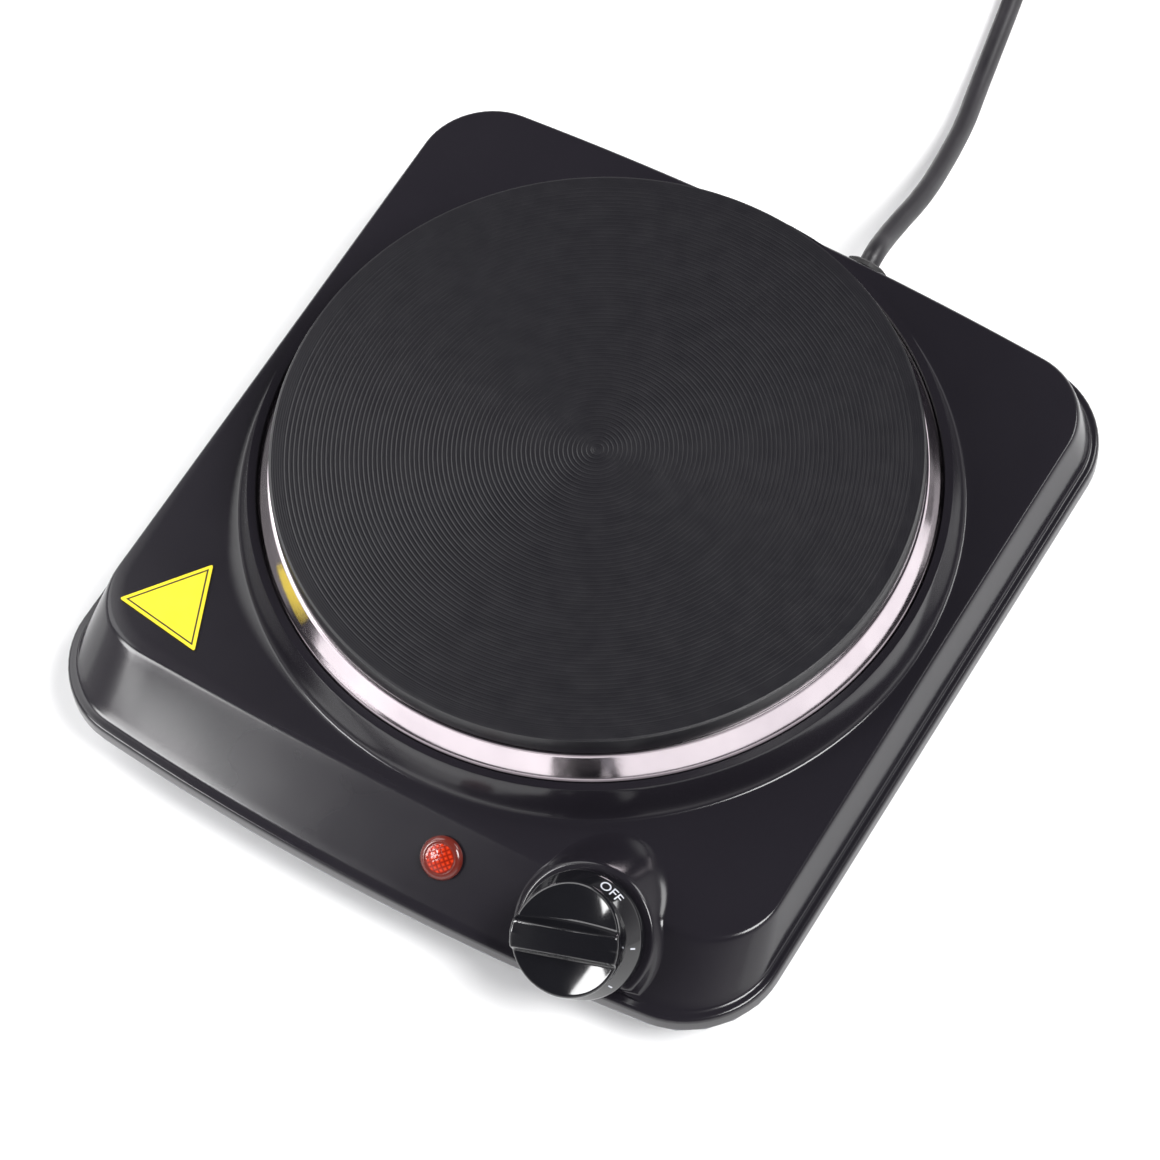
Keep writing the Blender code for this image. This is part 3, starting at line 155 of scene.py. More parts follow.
def join_up(pieces: Sequence[bpy.types.Object], name: str) -> bpy.types.Object:
    """Join pieces into one.

    Args:
        pieces: The pieces, first the one that takes up the others.
        name: The joined piece's name.

    Returns:
        The joined piece.
    """
    only(pieces[0])
    for piece in pieces[1:]:
        piece.select_set(True)
    bpy.ops.object.join()
    return named(name)


def draw_up(name: str, rings: Sequence[Ring], capped: bool = False) -> bpy.types.Object:
    """Extrude an outline from ring to ring into a skin.

    Args:
        name: The new piece's name.
        rings: Rings of equal point count, in order along the skin.
        capped: Whether both ends are closed by a face.

    Returns:
        The new piece, its object at the origin.
    """
    start_clean()
    bpy.ops.mesh.primitive_circle_add(
        vertices=len(rings[0]), radius=1.0, fill_type="NGON" if capped else "NOTHING")
    piece = named(name)
    for vert, point in zip(piece.data.vertices, rings[0]):
        vert.co = point
    order = {tuple(vert.co): vert.index for vert in piece.data.vertices}
    bpy.ops.object.mode_set(mode="EDIT")
    bpy.ops.mesh.select_mode(type="EDGE")
    bpy.ops.mesh.select_all(action="SELECT")
    for ring in rings[1:]:
        bpy.ops.mesh.extrude_region_move()
        mesh = bmesh.from_edit_mesh(piece.data)
        moved = {}
        for vert in mesh.verts:
            if vert.select:
                index = order[tuple(vert.co)]
                vert.co = ring[index]
                moved[tuple(vert.co)] = index
        order = moved
        bmesh.update_edit_mesh(piece.data)
    bpy.ops.mesh.select_all(action="SELECT")
    bpy.ops.mesh.normals_make_consistent(inside=False)
    bpy.ops.object.mode_set(mode="OBJECT")
    return piece


def turn_section(name: str, section: Sequence[tuple[float, float]], steps: int,
                 closed: bool = False) -> bpy.types.Object:
    """Spin a section of (radius, height) points about the Z axis.

    Args:
        name: The new piece's name.
        section: The section's points in order.
        steps: How many steps the full turn has.
        closed: Whether the section closes on itself, off the axis.

    Returns:
        The new closed piece about the origin.
    """
    start_clean()
    bpy.ops.mesh.primitive_circle_add(vertices=len(section), radius=1.0, fill_type="NOTHING")
    piece = named(name)
    for vert, (radius, height) in zip(piece.data.vertices, section):
        vert.co = (radius, 0.0, height)
    bpy.ops.object.mode_set(mode="EDIT")
    if not closed:
        mesh = bmesh.from_edit_mesh(piece.data)
        mesh.verts.ensure_lookup_table()
        seam = mesh.edges.get((mesh.verts[0], mesh.verts[len(section) - 1]))
        bmesh.ops.delete(mesh, geom=[seam], context="EDGES")
        bmesh.update_edit_mesh(piece.data)
    bpy.ops.mesh.select_all(action="SELECT")
    bpy.ops.mesh.spin(steps=steps, angle=2.0 * math.pi, center=(0.0, 0.0, 0.0),
                      axis=(0.0, 0.0, 1.0))
    close_seams()
    return piece


def new_cylinder(name: str, radius: float, low: float, high: float, place: Matrix,
                 sides: int) -> bpy.types.Object:
    """A cylinder from a low to a high height along a place's own Z.

    Args:
        name: The new piece's name.
        radius: Its radius.
        low: Height of its lower end.
        high: Height of its upper end.
        place: Where its axis lies.
        sides: How many sides it has.

    Returns:
        The new piece, its place in its mesh.
    """
    start_clean()
    bpy.ops.mesh.primitive_cylinder_add(vertices=sides, radius=radius, depth=high - low)
    piece = named(name)
    piece.data.transform(place @ Matrix.Translation((0.0, 0.0, (low + high) / 2.0)))
    return piece


def new_block(name: str, size: Sequence[float], place: Matrix) -> bpy.types.Object:
    """A block of a size with its middle at a place.

    Args:
        name: The new piece's name.
        size: Its three sides.
        place: Where its middle lies.

    Returns:
        The new piece, its place in its mesh.
    """
    start_clean()
    bpy.ops.mesh.primitive_cube_add(size=1.0)
    piece = named(name)
    piece.data.transform(place @ Matrix.Diagonal((*size, 1.0)))
    return piece


def apply_modifier(piece: bpy.types.Object, kind: str, **settings: object) -> None:
    """Add a modifier to a piece and apply it.

    Args:
        piece: The piece to change.
        kind: The modifier's type name.
        settings: The modifier's own properties.
    """
    only(piece)
    modifier = piece.modifiers.new(kind.lower(), kind)
    for name, value in settings.items():
        setattr(modifier, name, value)
    bpy.ops.object.modifier_apply(modifier=modifier.name)


def cut_away(piece: bpy.types.Object, tool: bpy.types.Object) -> None:
    """Cut a tool from a piece and remove the tool."""
    apply_modifier(piece, "BOOLEAN", operation="DIFFERENCE", object=tool, solver="EXACT")
    bpy.data.objects.remove(tool, do_unlink=True)


def smooth(piece: bpy.types.Object, degrees: float = 30.0) -> None:
    """Shade a piece smooth except where its faces turn by more than an angle."""
    only(piece)
    bpy.ops.object.shade_smooth_by_angle(angle=math.radians(degrees))


def dress(piece: bpy.types.Object, material: bpy.types.Material, slot: str, body: Body,
          *nodes: str) -> bpy.types.Object:
    """Give a finished piece its material and body, and hide the nodes that it stands for.

    Args:
        piece: The finished piece.
        material: Its material.
        slot: The record's material slot; not used.
        body: The body that it rides on.
        nodes: The CAD nodes that it replaces.

    Returns:
        The piece.
    """
    piece.data.materials.clear()
    piece.data.materials.append(material)
    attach(piece, body.value)
    if nodes:
        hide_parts(*nodes)
    LOG.info("%s: %d faces", piece.name, len(getattr(piece.data, "polygons", ())))
    return piece


# Finishes ------------------------------------------------------------------------------------
@dataclass(frozen=True)
class Finish:
    """A surface finish whose colour, roughness and relief vary over the piece.

    Sizes are in millimetres. The patch is the size of the areas in which the colour and the
    roughness drift, and the grain is the size of the surface's own texture.
    """

    name: str
    colour: str
    shade: str
    patch: float = 30.0
    rough: tuple[float, float] = (0.3, 0.4)
    grain: float = 0.6
    relief: float = 0.01
    metallic: float = 0.0
    ior: float = 1.5
    coat: float = 0.0
    coat_rough: float = 0.05
    sheen: float = 0.0

    def coordinates(self, tree: bpy.types.NodeTree) -> bpy.types.NodeSocket:
        """Where the pattern is read: in the piece's own metres."""
        return add_node(tree, "ShaderNodeTexCoord").outputs["Object"]

    def noise(self, tree: bpy.types.NodeTree, where: bpy.types.NodeSocket, size: float,
              detail: float = 3.0) -> bpy.types.NodeSocket:
        """A noise whose features have a size in millimetres.

        Args:
            tree: The material's nodes.
            where: Where the pattern is read.
            size: The features' size.
            detail: How many finer layers it has.

        Returns:
            The socket with the noise, from nought to one.
        """
        return add_node(tree, "ShaderNodeTexNoise", {
            "Vector": where, "Scale": 1.0 / (size * MM), "Detail": detail,
            "Roughness": 0.55}).outputs["Fac"]

    def tint(self, tree: bpy.types.NodeTree,
             where: bpy.types.NodeSocket) -> bpy.types.NodeSocket:
        """The surface's colour, drifting between its two ends.

        Args:
            tree: The material's nodes.
            where: Where the pattern is read.

        Returns:
            The socket with the colour.
        """
        drift = add_node(tree, "ShaderNodeMapRange", {
            "Value": self.noise(tree, where, self.patch), "From Min": 0.35, "From Max": 0.65})
        mixed = add_node(tree, "ShaderNodeMix", {
            0: drift.outputs["Result"], 6: linear(self.colour), 7: linear(self.shade)},
            data_type="RGBA")
        return mixed.outputs[2]

    def height(self, tree: bpy.types.NodeTree,
               where: bpy.types.NodeSocket) -> bpy.types.NodeSocket:
        """The surface's relief, from nought to one."""
        return self.noise(tree, where, self.grain, 4.0)

    def roughness(self, tree: bpy.types.NodeTree,
                  where: bpy.types.NodeSocket) -> bpy.types.NodeSocket:
        """The surface's roughness, drifting between its two ends.

        Args:
            tree: The material's nodes.
            where: Where the pattern is read.

        Returns:
            The socket with the roughness.
        """
        return add_node(tree, "ShaderNodeMapRange", {
            "Value": self.noise(tree, where, 0.6 * self.patch, 5.0), "From Min": 0.3,
            "From Max": 0.7, "To Min": self.rough[0], "To Max": self.rough[1],
        }).outputs["Result"]

    def build(self) -> bpy.types.Material:
        """Make the material.

        Returns:
            The material with its nodes.
        """
        material = bpy.data.materials.new(self.name)
        material.use_nodes = True
        tree = material.node_tree
        shader = tree.nodes["Principled BSDF"]
        where = self.coordinates(tree)
        bump = add_node(tree, "ShaderNodeBump", {
            "Strength": 1.0, "Distance": self.relief * MM, "Height": self.height(tree, where)})
        tree.links.new(self.tint(tree, where), shader.inputs["Base Color"])
        tree.links.new(self.roughness(tree, where), shader.inputs["Roughness"])
        tree.links.new(bump.outputs["Normal"], shader.inputs["Normal"])
        shader.inputs["Metallic"].default_value = self.metallic
        shader.inputs["IOR"].default_value = self.ior
        shader.inputs["Coat Weight"].default_value = self.coat
        shader.inputs["Coat Roughness"].default_value = self.coat_rough
        shader.inputs["Sheen Weight"].default_value = self.sheen
        return material


@dataclass(frozen=True)
class TurnedFinish(Finish):
    """A finish with rings left by a lathe's tool about the burner's axis."""

    pitch: float = 0.5
    centre: tuple[float, float] = (0.0, 0.0)

    def height(self, tree: bpy.types.NodeTree,
               where: bpy.types.NodeSocket) -> bpy.types.NodeSocket:
        """Rings of the tool's pitch, mixed with the metal's own grain.

        Args:
            tree: The material's nodes.
            where: Where the pattern is read.

        Returns:
            The socket with the relief.
        """
        flat = add_node(tree, "ShaderNodeMapping", {
            "Vector": where, "Location": (-self.centre[0], -self.centre[1], 0.0),
            "Scale": (1.0, 1.0, 0.0)})
        radius = add_node(tree, "ShaderNodeVectorMath", {0: flat.outputs["Vector"]},
                          operation="LENGTH")
        phase = add_node(tree, "ShaderNodeMath", {
            0: radius.outputs["Value"], 1: 2.0 * math.pi / (self.pitch * MM)},
            operation="MULTIPLY")
        wave = add_node(tree, "ShaderNodeMath", {0: phase.outputs[0]}, operation="SINE")
        return add_node(tree, "ShaderNodeMath", {
            0: wave.outputs[0], 1: 0.5, 2: self.noise(tree, where, self.grain, 4.0)},
            operation="MULTIPLY_ADD").outputs[0]


@dataclass(frozen=True)
class LensFinish(Finish):
    """Clear coloured plastic whose inside is cut into small diamonds, read from its map."""

    diamond: float = 0.65
    core: float = 3.9
    # Darker red painted into the grooves between the diamonds as shade.
    groove_shade: str = "#701204"

    def coordinates(self, tree: bpy.types.NodeTree) -> bpy.types.NodeSocket:
        """The lens's own map, in metres from its middle."""
        return add_node(tree, "ShaderNodeUVMap", uv_map="plan").outputs["UV"]

    def facets(self, tree: bpy.types.NodeTree,
               where: bpy.types.NodeSocket) -> bpy.types.NodeSocket:
        """Height of the diamonds: two crossing sets of ridges.

        Args:
            tree: The material's nodes.
            where: Where the pattern is read.

        Returns:
            The socket with the height, from nought to one.
        """
        turned = add_node(tree, "ShaderNodeMapping", {
            "Vector": where, "Rotation": (0.0, 0.0, math.radians(45.0))})
        split = add_node(tree, "ShaderNodeSeparateXYZ", {0: turned.outputs["Vector"]})
        ridges = []
        for side in ("X", "Y"):
            ridge = add_node(tree, "ShaderNodeMath", {
                0: split.outputs[side], 1: self.diamond * MM}, operation="PINGPONG")
            ridges.append(ridge.outputs[0])
        lower = add_node(tree, "ShaderNodeMath", {0: ridges[0], 1: ridges[1]},
                         operation="MINIMUM")
        return add_node(tree, "ShaderNodeMath", {0: lower.outputs[0], 1: self.diamond * MM},
                        operation="DIVIDE").outputs[0]

    def inside(self, tree: bpy.types.NodeTree,
               where: bpy.types.NodeSocket) -> bpy.types.NodeSocket:
        """Tell the lens's core from the plain rim round it.

        Args:
            tree: The material's nodes.
            where: Where the pattern is read.

        Returns:
            The socket with one in the core and nought in the rim.
        """
        radius = add_node(tree, "ShaderNodeVectorMath", {0: where}, operation="LENGTH")
        return add_node(tree, "ShaderNodeMapRange", {
            "Value": radius.outputs["Value"], "From Min": (self.core + 0.3) * MM,
            "From Max": self.core * MM}).outputs["Result"]

    def tint(self, tree: bpy.types.NodeTree,
             where: bpy.types.NodeSocket) -> bpy.types.NodeSocket:
        """Bright diamonds with painted shade in the grooves between them, in a duller rim.

        Args:
            tree: The material's nodes.
            where: Where the pattern is read.

        Returns:
            The socket with the colour.
        """
        # Painted shade: the grooves between the diamonds take the darker red.
        shaded_facets = add_node(tree, "ShaderNodeMix", {
            0: self.facets(tree, where), 6: linear(self.groove_shade), 7: linear(self.colour)},
            data_type="RGBA")
        return add_node(tree, "ShaderNodeMix", {
            0: self.inside(tree, where), 6: linear(self.shade), 7: shaded_facets.outputs[2]},
            data_type="RGBA").outputs[2]

    def height(self, tree: bpy.types.NodeTree,
               where: bpy.types.NodeSocket) -> bpy.types.NodeSocket:
        """The diamonds' relief, only inside the core.

        Args:
            tree: The material's nodes.
            where: Where the pattern is read.

        Returns:
            The socket with the relief, from nought to one.
        """
        return add_node(tree, "ShaderNodeMath", {
            0: self.facets(tree, where), 1: self.inside(tree, where)},
            operation="MULTIPLY").outputs[0]


# Powder-coated pressed steel: deep black with a satin gloss and the slight unevenness of a
# sprayed and baked film.
BLACK_COAT = Finish("powder_coated_steel", "#1D1B20", "#1B191E", 60.0, (0.16, 0.2), 1.4, 0.005,
                    ior=1.46)
# Polished stainless: mirror-like with faint handling haze.
STAINLESS = Finish("polished_stainless_steel", "#CDC3C8", "#BDB3B9", 25.0, (0.1, 0.17), 9.0,
                   0.03, metallic=1.0)
# Galvanised sheet: grey with broad zinc crystals.
GALVANISED = Finish("galvanised_sheet", "#9A9BA0", "#7F8186", 7.0, (0.38, 0.52), 1.2, 0.01,
                    metallic=1.0)
# Zinc-plated small parts: bright, slightly blue, finely grained.
ZINC = Finish("zinc_plated_steel", "#B9BCC2", "#A2A5AC", 3.0, (0.25, 0.4), 0.5, 0.006,
              metallic=1.0)
# Machined brass: yellow metal with tool grain.
BRASS = Finish("machined_brass", "#C9A35A", "#B08A45", 4.0, (0.2, 0.34), 0.4, 0.008,
               metallic=1.0)
# Steatite: dense unglazed white ceramic, faintly gritty.
STEATITE = Finish("unglazed_steatite", "#D9D4C6", "#C6BFAE", 5.0, (0.5, 0.62), 0.3, 0.02)
# Polished phenolic: deep black moulding with a wet-looking gloss.
PHENOLIC = Finish("polished_black_phenolic", "#131316", "#101013", 20.0, (0.07, 0.12), 5.0,
                  0.006, coat=0.4, coat_rough=0.04)
# Nylon: off-white, slightly waxy moulding.
NYLON = Finish("natural_nylon", "#D8D6CC", "#CBC8BC", 6.0, (0.4, 0.5), 0.5, 0.01)
# Moulded rubber: dull dark grey-black, finely pitted.
RUBBER = Finish("moulded_black_rubber", "#222122", "#1A1A1B", 8.0, (0.6, 0.75), 0.35, 0.03,
                sheen=0.1)
# Flexible PVC sheath: soft black with a low sheen along its length.
SHEATH = Finish("flexible_cord_sheath", "#252327", "#1D1B1F", 12.0, (0.36, 0.5), 0.5, 0.02)
# Silicone sleeving over stranded wires.
BROWN_SLEEVE = Finish("brown_silicone_sleeve", "#6F3F25", "#5F331D", 4.0, (0.5, 0.6), 0.4, 0.02)
BLUE_SLEEVE = Finish("blue_silicone_sleeve", "#2B56A8", "#23488F", 4.0, (0.5, 0.6), 0.4, 0.02)
EARTH_SLEEVE = Finish("earth_silicone_sleeve", "#C7C233", "#3F8A35", 3.0, (0.5, 0.6), 0.4, 0.02)
# Coated paper label: flat yellow with a slight print mottle.
LABEL_FILM = Finish("yellow_label_film", "#E2CE2C", "#DBC727", 8.0, (0.34, 0.44), 0.8, 0.004)
# Printing ink: black on the label, pale on the knob.
BLACK_INK = Finish("black_print", "#2A2716", "#35311C", 3.0, (0.4, 0.5), 0.4, 0.004)
PALE_INK = Finish("pale_print", "#C9CBD2", "#B9BCC4", 2.0, (0.4, 0.5), 0.4, 0.004)
# Orange-red polycarbonate over a neon lamp, moulded with a diamond pattern.
RED_LENS = LensFinish("clear_red_polycarbonate", "#CE3815", "#5E221B", 4.0, (0.14, 0.2), 0.6,
                      0.05)


# Layout --------------------------------------------------------------------------------------
# The lamp's middle on the sloping panel, and the panel's tilt there in radians.
LAMP_Y = -103.513 * MM
LAMP_Z = 31.346 * MM
LAMP_TILT = 0.610878


@dataclass(frozen=True)
class Layout:
    """Places that the pieces share, read from the frame."""

    axis: Vector
    plate_top: float
    knob: Matrix
    lamp: Matrix

    @classmethod
    def from_frame(cls) -> "Layout":
        """Read the burner's axis, the knob's axis and the lamp's from the frame.

        Returns:
            The layout.
        """
        low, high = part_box("heating_plate")
        axis = Vector(((low.x + high.x) / 2.0, (low.y + high.y) / 2.0, 0.0))
        hinge = next(joint for joint in frame["joints"] if joint["name"] == "knob_turn")
        outward = -Vector(hinge["axis"])
        knob = (Matrix.Translation(hinge["pos_m"])
                @ Matrix.Rotation(math.atan2(-outward.y, outward.z), 4, "X"))
        low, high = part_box("indicator_lens")
        middle = Vector(((low.x + high.x) / 2.0, LAMP_Y, LAMP_Z))
        return cls(axis, high_of("heating_plate"), knob,
                   Matrix.Translation(middle) @ Matrix.Rotation(LAMP_TILT, 4, "X"))


def high_of(node: str) -> float:
    """Height of a node's top."""
    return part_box(node)[1].z


@dataclass(frozen=True)
class Plan:
    """The body's plan at one level: a rounded rectangle with bowed front and rear edges."""

    half_width: float
    front: float
    rear: float
    corner: float
    front_bow: float
    rear_bow: float
    corner_steps: int = 14
    side_steps: int = 26

    def grown(self, offset: float) -> "Plan":
        """The same plan moved outwards by an offset."""
        return Plan(self.half_width + offset, self.front + offset, self.rear + offset,
                    self.corner + offset, self.front_bow, self.rear_bow)

    def points(self) -> list[tuple[float, float]]:
        """The outline's points about the burner's axis, anticlockwise.

        Returns:
            Pairs of x and y.
        """
        arcs = []
        for side, end, first in ((1, 1, 0.0), (-1, 1, 90.0), (-1, -1, 180.0), (1, -1, 270.0)):
            centre_x = side * (self.half_width - self.corner)
            centre_y = self.rear - self.corner if end > 0 else self.corner - self.front
            for step in range(self.corner_steps + 1):
                angle = math.radians(first + 90.0 * step / self.corner_steps)
                arcs.append((centre_x + self.corner * math.cos(angle),
                             centre_y + self.corner * math.sin(angle)))
        outline = []
        for index, (x, y) in enumerate(arcs):
            outline.append((x, y))
            if index % (self.corner_steps + 1) == self.corner_steps:
                next_x, next_y = arcs[(index + 1) % len(arcs)]
                for step in range(1, self.side_steps):
                    share = step / self.side_steps
                    outline.append((x + (next_x - x) * share, y + (next_y - y) * share))
        bowed = []
        for x, y in outline:
            lift = 1.0 - (x / self.half_width) ** 2
            bow = self.rear_bow * y / self.rear if y > 0.0 else self.front_bow * y / self.front
            bowed.append((x, y + lift * bow))
        return bowed

    def ring(self, axis: Vector, height: float) -> Ring:
        """The outline at a height, about the burner's axis."""
        return [Vector((axis.x + x, axis.y + y, height)) for x, y in self.points()]


def soften(before: Ring, corner: Ring, after: Ring, reach: tuple[float, float],
           steps: int = 5) -> list[Ring]:
    """Rings that round the corner between two slopes.

    Args:
        before: The ring before the corner.
        corner: The corner's own ring.
        after: The ring after it.
        reach: How far back and how far on the rounding goes.
        steps: How many strips the rounding has.

    Returns:
        The rounding's rings in order.
    """
    start = [c + (b - c).normalized() * reach[0] for b, c in zip(before, corner)]
    end = [c + (a - c).normalized() * reach[1] for a, c in zip(after, corner)]
    rings = []
    for step in range(steps + 1):
        t = step / steps
        rings.append([(1.0 - t) ** 2 * s + 2.0 * t * (1.0 - t) * c + t ** 2 * e
                      for s, c, e in zip(start, corner, end)])
    return rings


def between(lower: Ring, upper: Ring, count: int) -> list[Ring]:
    """Evenly spaced rings between two rings, without the two."""
    return [[low.lerp(high, step / (count + 1)) for low, high in zip(lower, upper)]
            for step in range(1, count + 1)]


def soft_greater(first: float, second: float, width: float) -> float:
    """The greater of two heights, with the crossing rounded over a width."""
    gap = max(0.0, width - abs(first - second)) / width
    return max(first, second) + gap * gap * width / 4.0


# Sub-assemblies ------------------------------------------------------------------------------
@dataclass
class Housing:
    """Pressed steel housing with its rim, sloping panel, raised ring and knob pad."""

    layout: Layout
    rim_z: float = 17.8 * MM
    ledge_z: float = 23.0 * MM
    panel_z: float = 38.0 * MM
    boss_z: float = 49.5 * MM
    rim_step: float = 2.7 * MM
    sheet: float = 1.0 * MM
    boss_radius: float = 99.1 * MM
    boss_root: float = 102.3 * MM
    moat: float = 0.9 * MM
    opening: float = 90.9 * MM
    pad_rise: float = 2.5 * MM
    pad_radius: float = 19.7 * MM
    pad_spread: float = 0.45
    pad_blend: float = 2.6 * MM
    pad_round: float = 1.2 * MM
    pad_steps: int = 144
    bush_hole: float = 5.4 * MM
    lamp_hole: float = 5.0 * MM
    gland_hole: float = 4.9 * MM
    ledge: Plan = Plan(110.9 * MM, 120.9 * MM, 103.1 * MM, 22.0 * MM, 8.0 * MM, 6.5 * MM)
    crease: Plan = Plan(107.7 * MM, 105.8 * MM, 99.9 * MM, 20.0 * MM, 1.5 * MM, 5.2 * MM)

    def circle(self, radius: float, height: float) -> Ring:
        """A circle whose points lie in the directions of the crease's points.

        Args:
            radius: Its radius about the burner's axis.
            height: Its height over the floor.

        Returns:
            The circle's points.
        """
        ring = []
        for x, y in self.crease.points():
            reach = math.hypot(x, y)
            ring.append(Vector((self.layout.axis.x + radius * x / reach,
                                self.layout.axis.y + radius * y / reach, height)))
        return ring

    def rings(self) -> list[Ring]:
        """The outer skin's rings.

        Returns:
            The rings, from the rim's foot in to the burner's opening.
        """
        axis = self.layout.axis
        foot = self.ledge.grown(self.rim_step).ring(axis, self.rim_z)
        brow = self.ledge.grown(self.rim_step).ring(axis, self.ledge_z - 0.1 * MM)
        root = self.ledge.ring(axis, self.ledge_z)
        crease = self.crease.ring(axis, self.panel_z)
        valley = self.circle(self.boss_root, self.panel_z)
        shoulder = self.circle(self.boss_radius, self.boss_z)
        brink = self.circle(self.boss_radius - 1.0 * MM, self.boss_z - 0.1 * MM)
        moat = self.circle(self.boss_radius - 2.2 * MM, self.boss_z - self.moat)
        edge = self.circle(self.opening, self.boss_z - self.moat)
        lip = self.circle(self.opening, self.boss_z - self.moat - 1.4 * MM)
        rings = [foot] + soften(foot, brow, root, (1.5 * MM, 1.3 * MM))
        rings += soften(brow, root, crease, (0.8 * MM, 1.1 * MM), 3)
        crease_rings = soften(root, crease, valley, (1.7 * MM, 1.2 * MM), 6)
        rings += between(rings[-1], crease_rings[0], 8) + crease_rings
        valley_rings = soften(crease, valley, shoulder, (1.3 * MM, 4.2 * MM), 7)
        rings += between(rings[-1], valley_rings[0], 8) + valley_rings
        shoulder_rings = soften(valley, shoulder, brink, (1.6 * MM, 0.9 * MM), 5)
        rings += between(rings[-1], shoulder_rings[0], 1) + shoulder_rings
        rings += soften(shoulder, brink, moat, (0.4 * MM, 0.4 * MM), 3)
        rings += soften(brink, moat, edge, (0.3 * MM, 0.4 * MM), 3)
        rings += soften(moat, edge, lip, (0.8 * MM, 0.8 * MM), 3)
        return rings + [lip]

    def pad_height(self, radius: float, skin: float) -> float:
        """Height of the pressed pad over the knob's plane, blended into the skin.

        Args:
            radius: Distance from the knob's axis.
            skin: Height of the plain skin there.

        Returns:
            The pad's height, or just under the skin where the pad has run out.
        """
        wall = self.pad_rise - (radius - self.pad_radius) / self.pad_spread
        raised = -soft_greater(-self.pad_rise, -wall, self.pad_round)
        lift = soft_greater(skin, raised, self.pad_blend) - skin
        return skin + lift - 0.12 * MM * (1.0 - min(1.0, lift / (0.05 * MM)))

    def pad(self, skin: bpy.types.Object) -> bpy.types.Object:
        """The round pad under the knob, ending in an upright wall on the ledge.

        Args:
            skin: The plain housing skin that it rises from.

        Returns:
            The pad's sheet.
        """
        tree = BVHTree.FromObject(skin, bpy.context.evaluated_depsgraph_get())
        clear = 60.0 * MM
        place = self.layout.knob
        inverse = place.inverted()
        inward = -(place.to_3x3() @ Vector((0.0, 0.0, 1.0)))

        def surface(turn: float, radius: float) -> Vector:
            """The pad's point in a direction from the knob's axis.

            Args:
                turn: Its direction in radians.
                radius: Its distance from the axis.

            Returns:
                The point on the pad.
            """
            flat = Vector((radius * math.cos(turn), radius * math.sin(turn), clear))
            hit = tree.ray_cast(place @ flat, inward)[0]
            level = (inverse @ hit).z if hit else -clear
            return place @ Vector((flat.x, flat.y, self.pad_height(radius, level)))

        def over_panel(point: Vector) -> bool:
            """Whether a point lies over the sloping panel, not past it."""
            hit = tree.ray_cast(point + Vector((0.0, 0.0, clear)), Vector((0, 0, -1)))[0]
            return hit is not None and hit.z > self.ledge_z + 0.15 * MM

        # Wide strips on the flat top, fine ones over the rounded wall, wider ones on the skin.
        radii = [self.bush_hole + step * 2.0 * MM for step in range(6)]
        radii += [self.pad_radius + (step - 6) * 0.32 * MM for step in range(28)]
        radii += [radii[-1] + step * 0.9 * MM for step in range(1, 6)]
        columns = []
        for index in range(self.pad_steps):
            turn = 2.0 * math.pi * index / self.pad_steps
            # Each column ends where the sloping panel does, and drops to the ledge from there.
            limit = radii[4]
            while limit < radii[-1] and over_panel(surface(turn, limit + 0.1 * MM)):
                limit += 0.1 * MM
            column = [surface(turn, radius) for radius in radii if radius < limit]
            edge = surface(turn, limit)
            drops = len(radii) + 3 - len(column)
            floor = min(edge.z, self.ledge_z - 0.2 * MM) if limit < radii[-1] else edge.z
            for step in range(drops):
                share = step / (drops - 1)
                column.append(Vector((edge.x, edge.y, edge.z + (floor - edge.z) * share)))
            columns.append(column)
        rings = [[column[level] for column in columns] for level in range(len(columns[0]))]
        piece = draw_up("knob_pad", rings)
        apply_modifier(piece, "WELD", merge_threshold=WELD)
        face = max(piece.data.polygons, key=lambda polygon: polygon.area)
        if face.normal.dot(inward) > 0.0:
            piece.data.flip_normals()
        apply_modifier(piece, "SOLIDIFY", thickness=self.sheet, offset=-1.0)
        return piece

    def build(self, coat: bpy.types.Material, gland: Matrix) -> bpy.types.Object:
        """Make the housing.

        Args:
            coat: The body's coating.
            gland: Place of the cord's gland.

        Returns:
            The finished piece.
        """
        piece = draw_up("housing_shell", self.rings())
        pad = self.pad(piece)
        if piece.data.polygons[0].normal.dot(
                piece.data.polygons[0].center - self.layout.axis) < 0.0:
            piece.data.flip_normals()
        apply_modifier(piece, "SOLIDIFY", thickness=self.sheet, offset=-1.0)
        holes = ((self.bush_hole, self.layout.knob), (self.lamp_hole, self.layout.lamp),
                 (self.gland_hole, gland))
        for radius, place in holes:
            cut_away(piece, new_cylinder("hole", radius, -8.0 * MM, 8.0 * MM, place, 48))
        piece = join_up([piece, pad], "housing_shell")
        smooth(piece, 40.0)
        return dress(piece, coat, "black_coat", Body.BODY, "upper_housing")


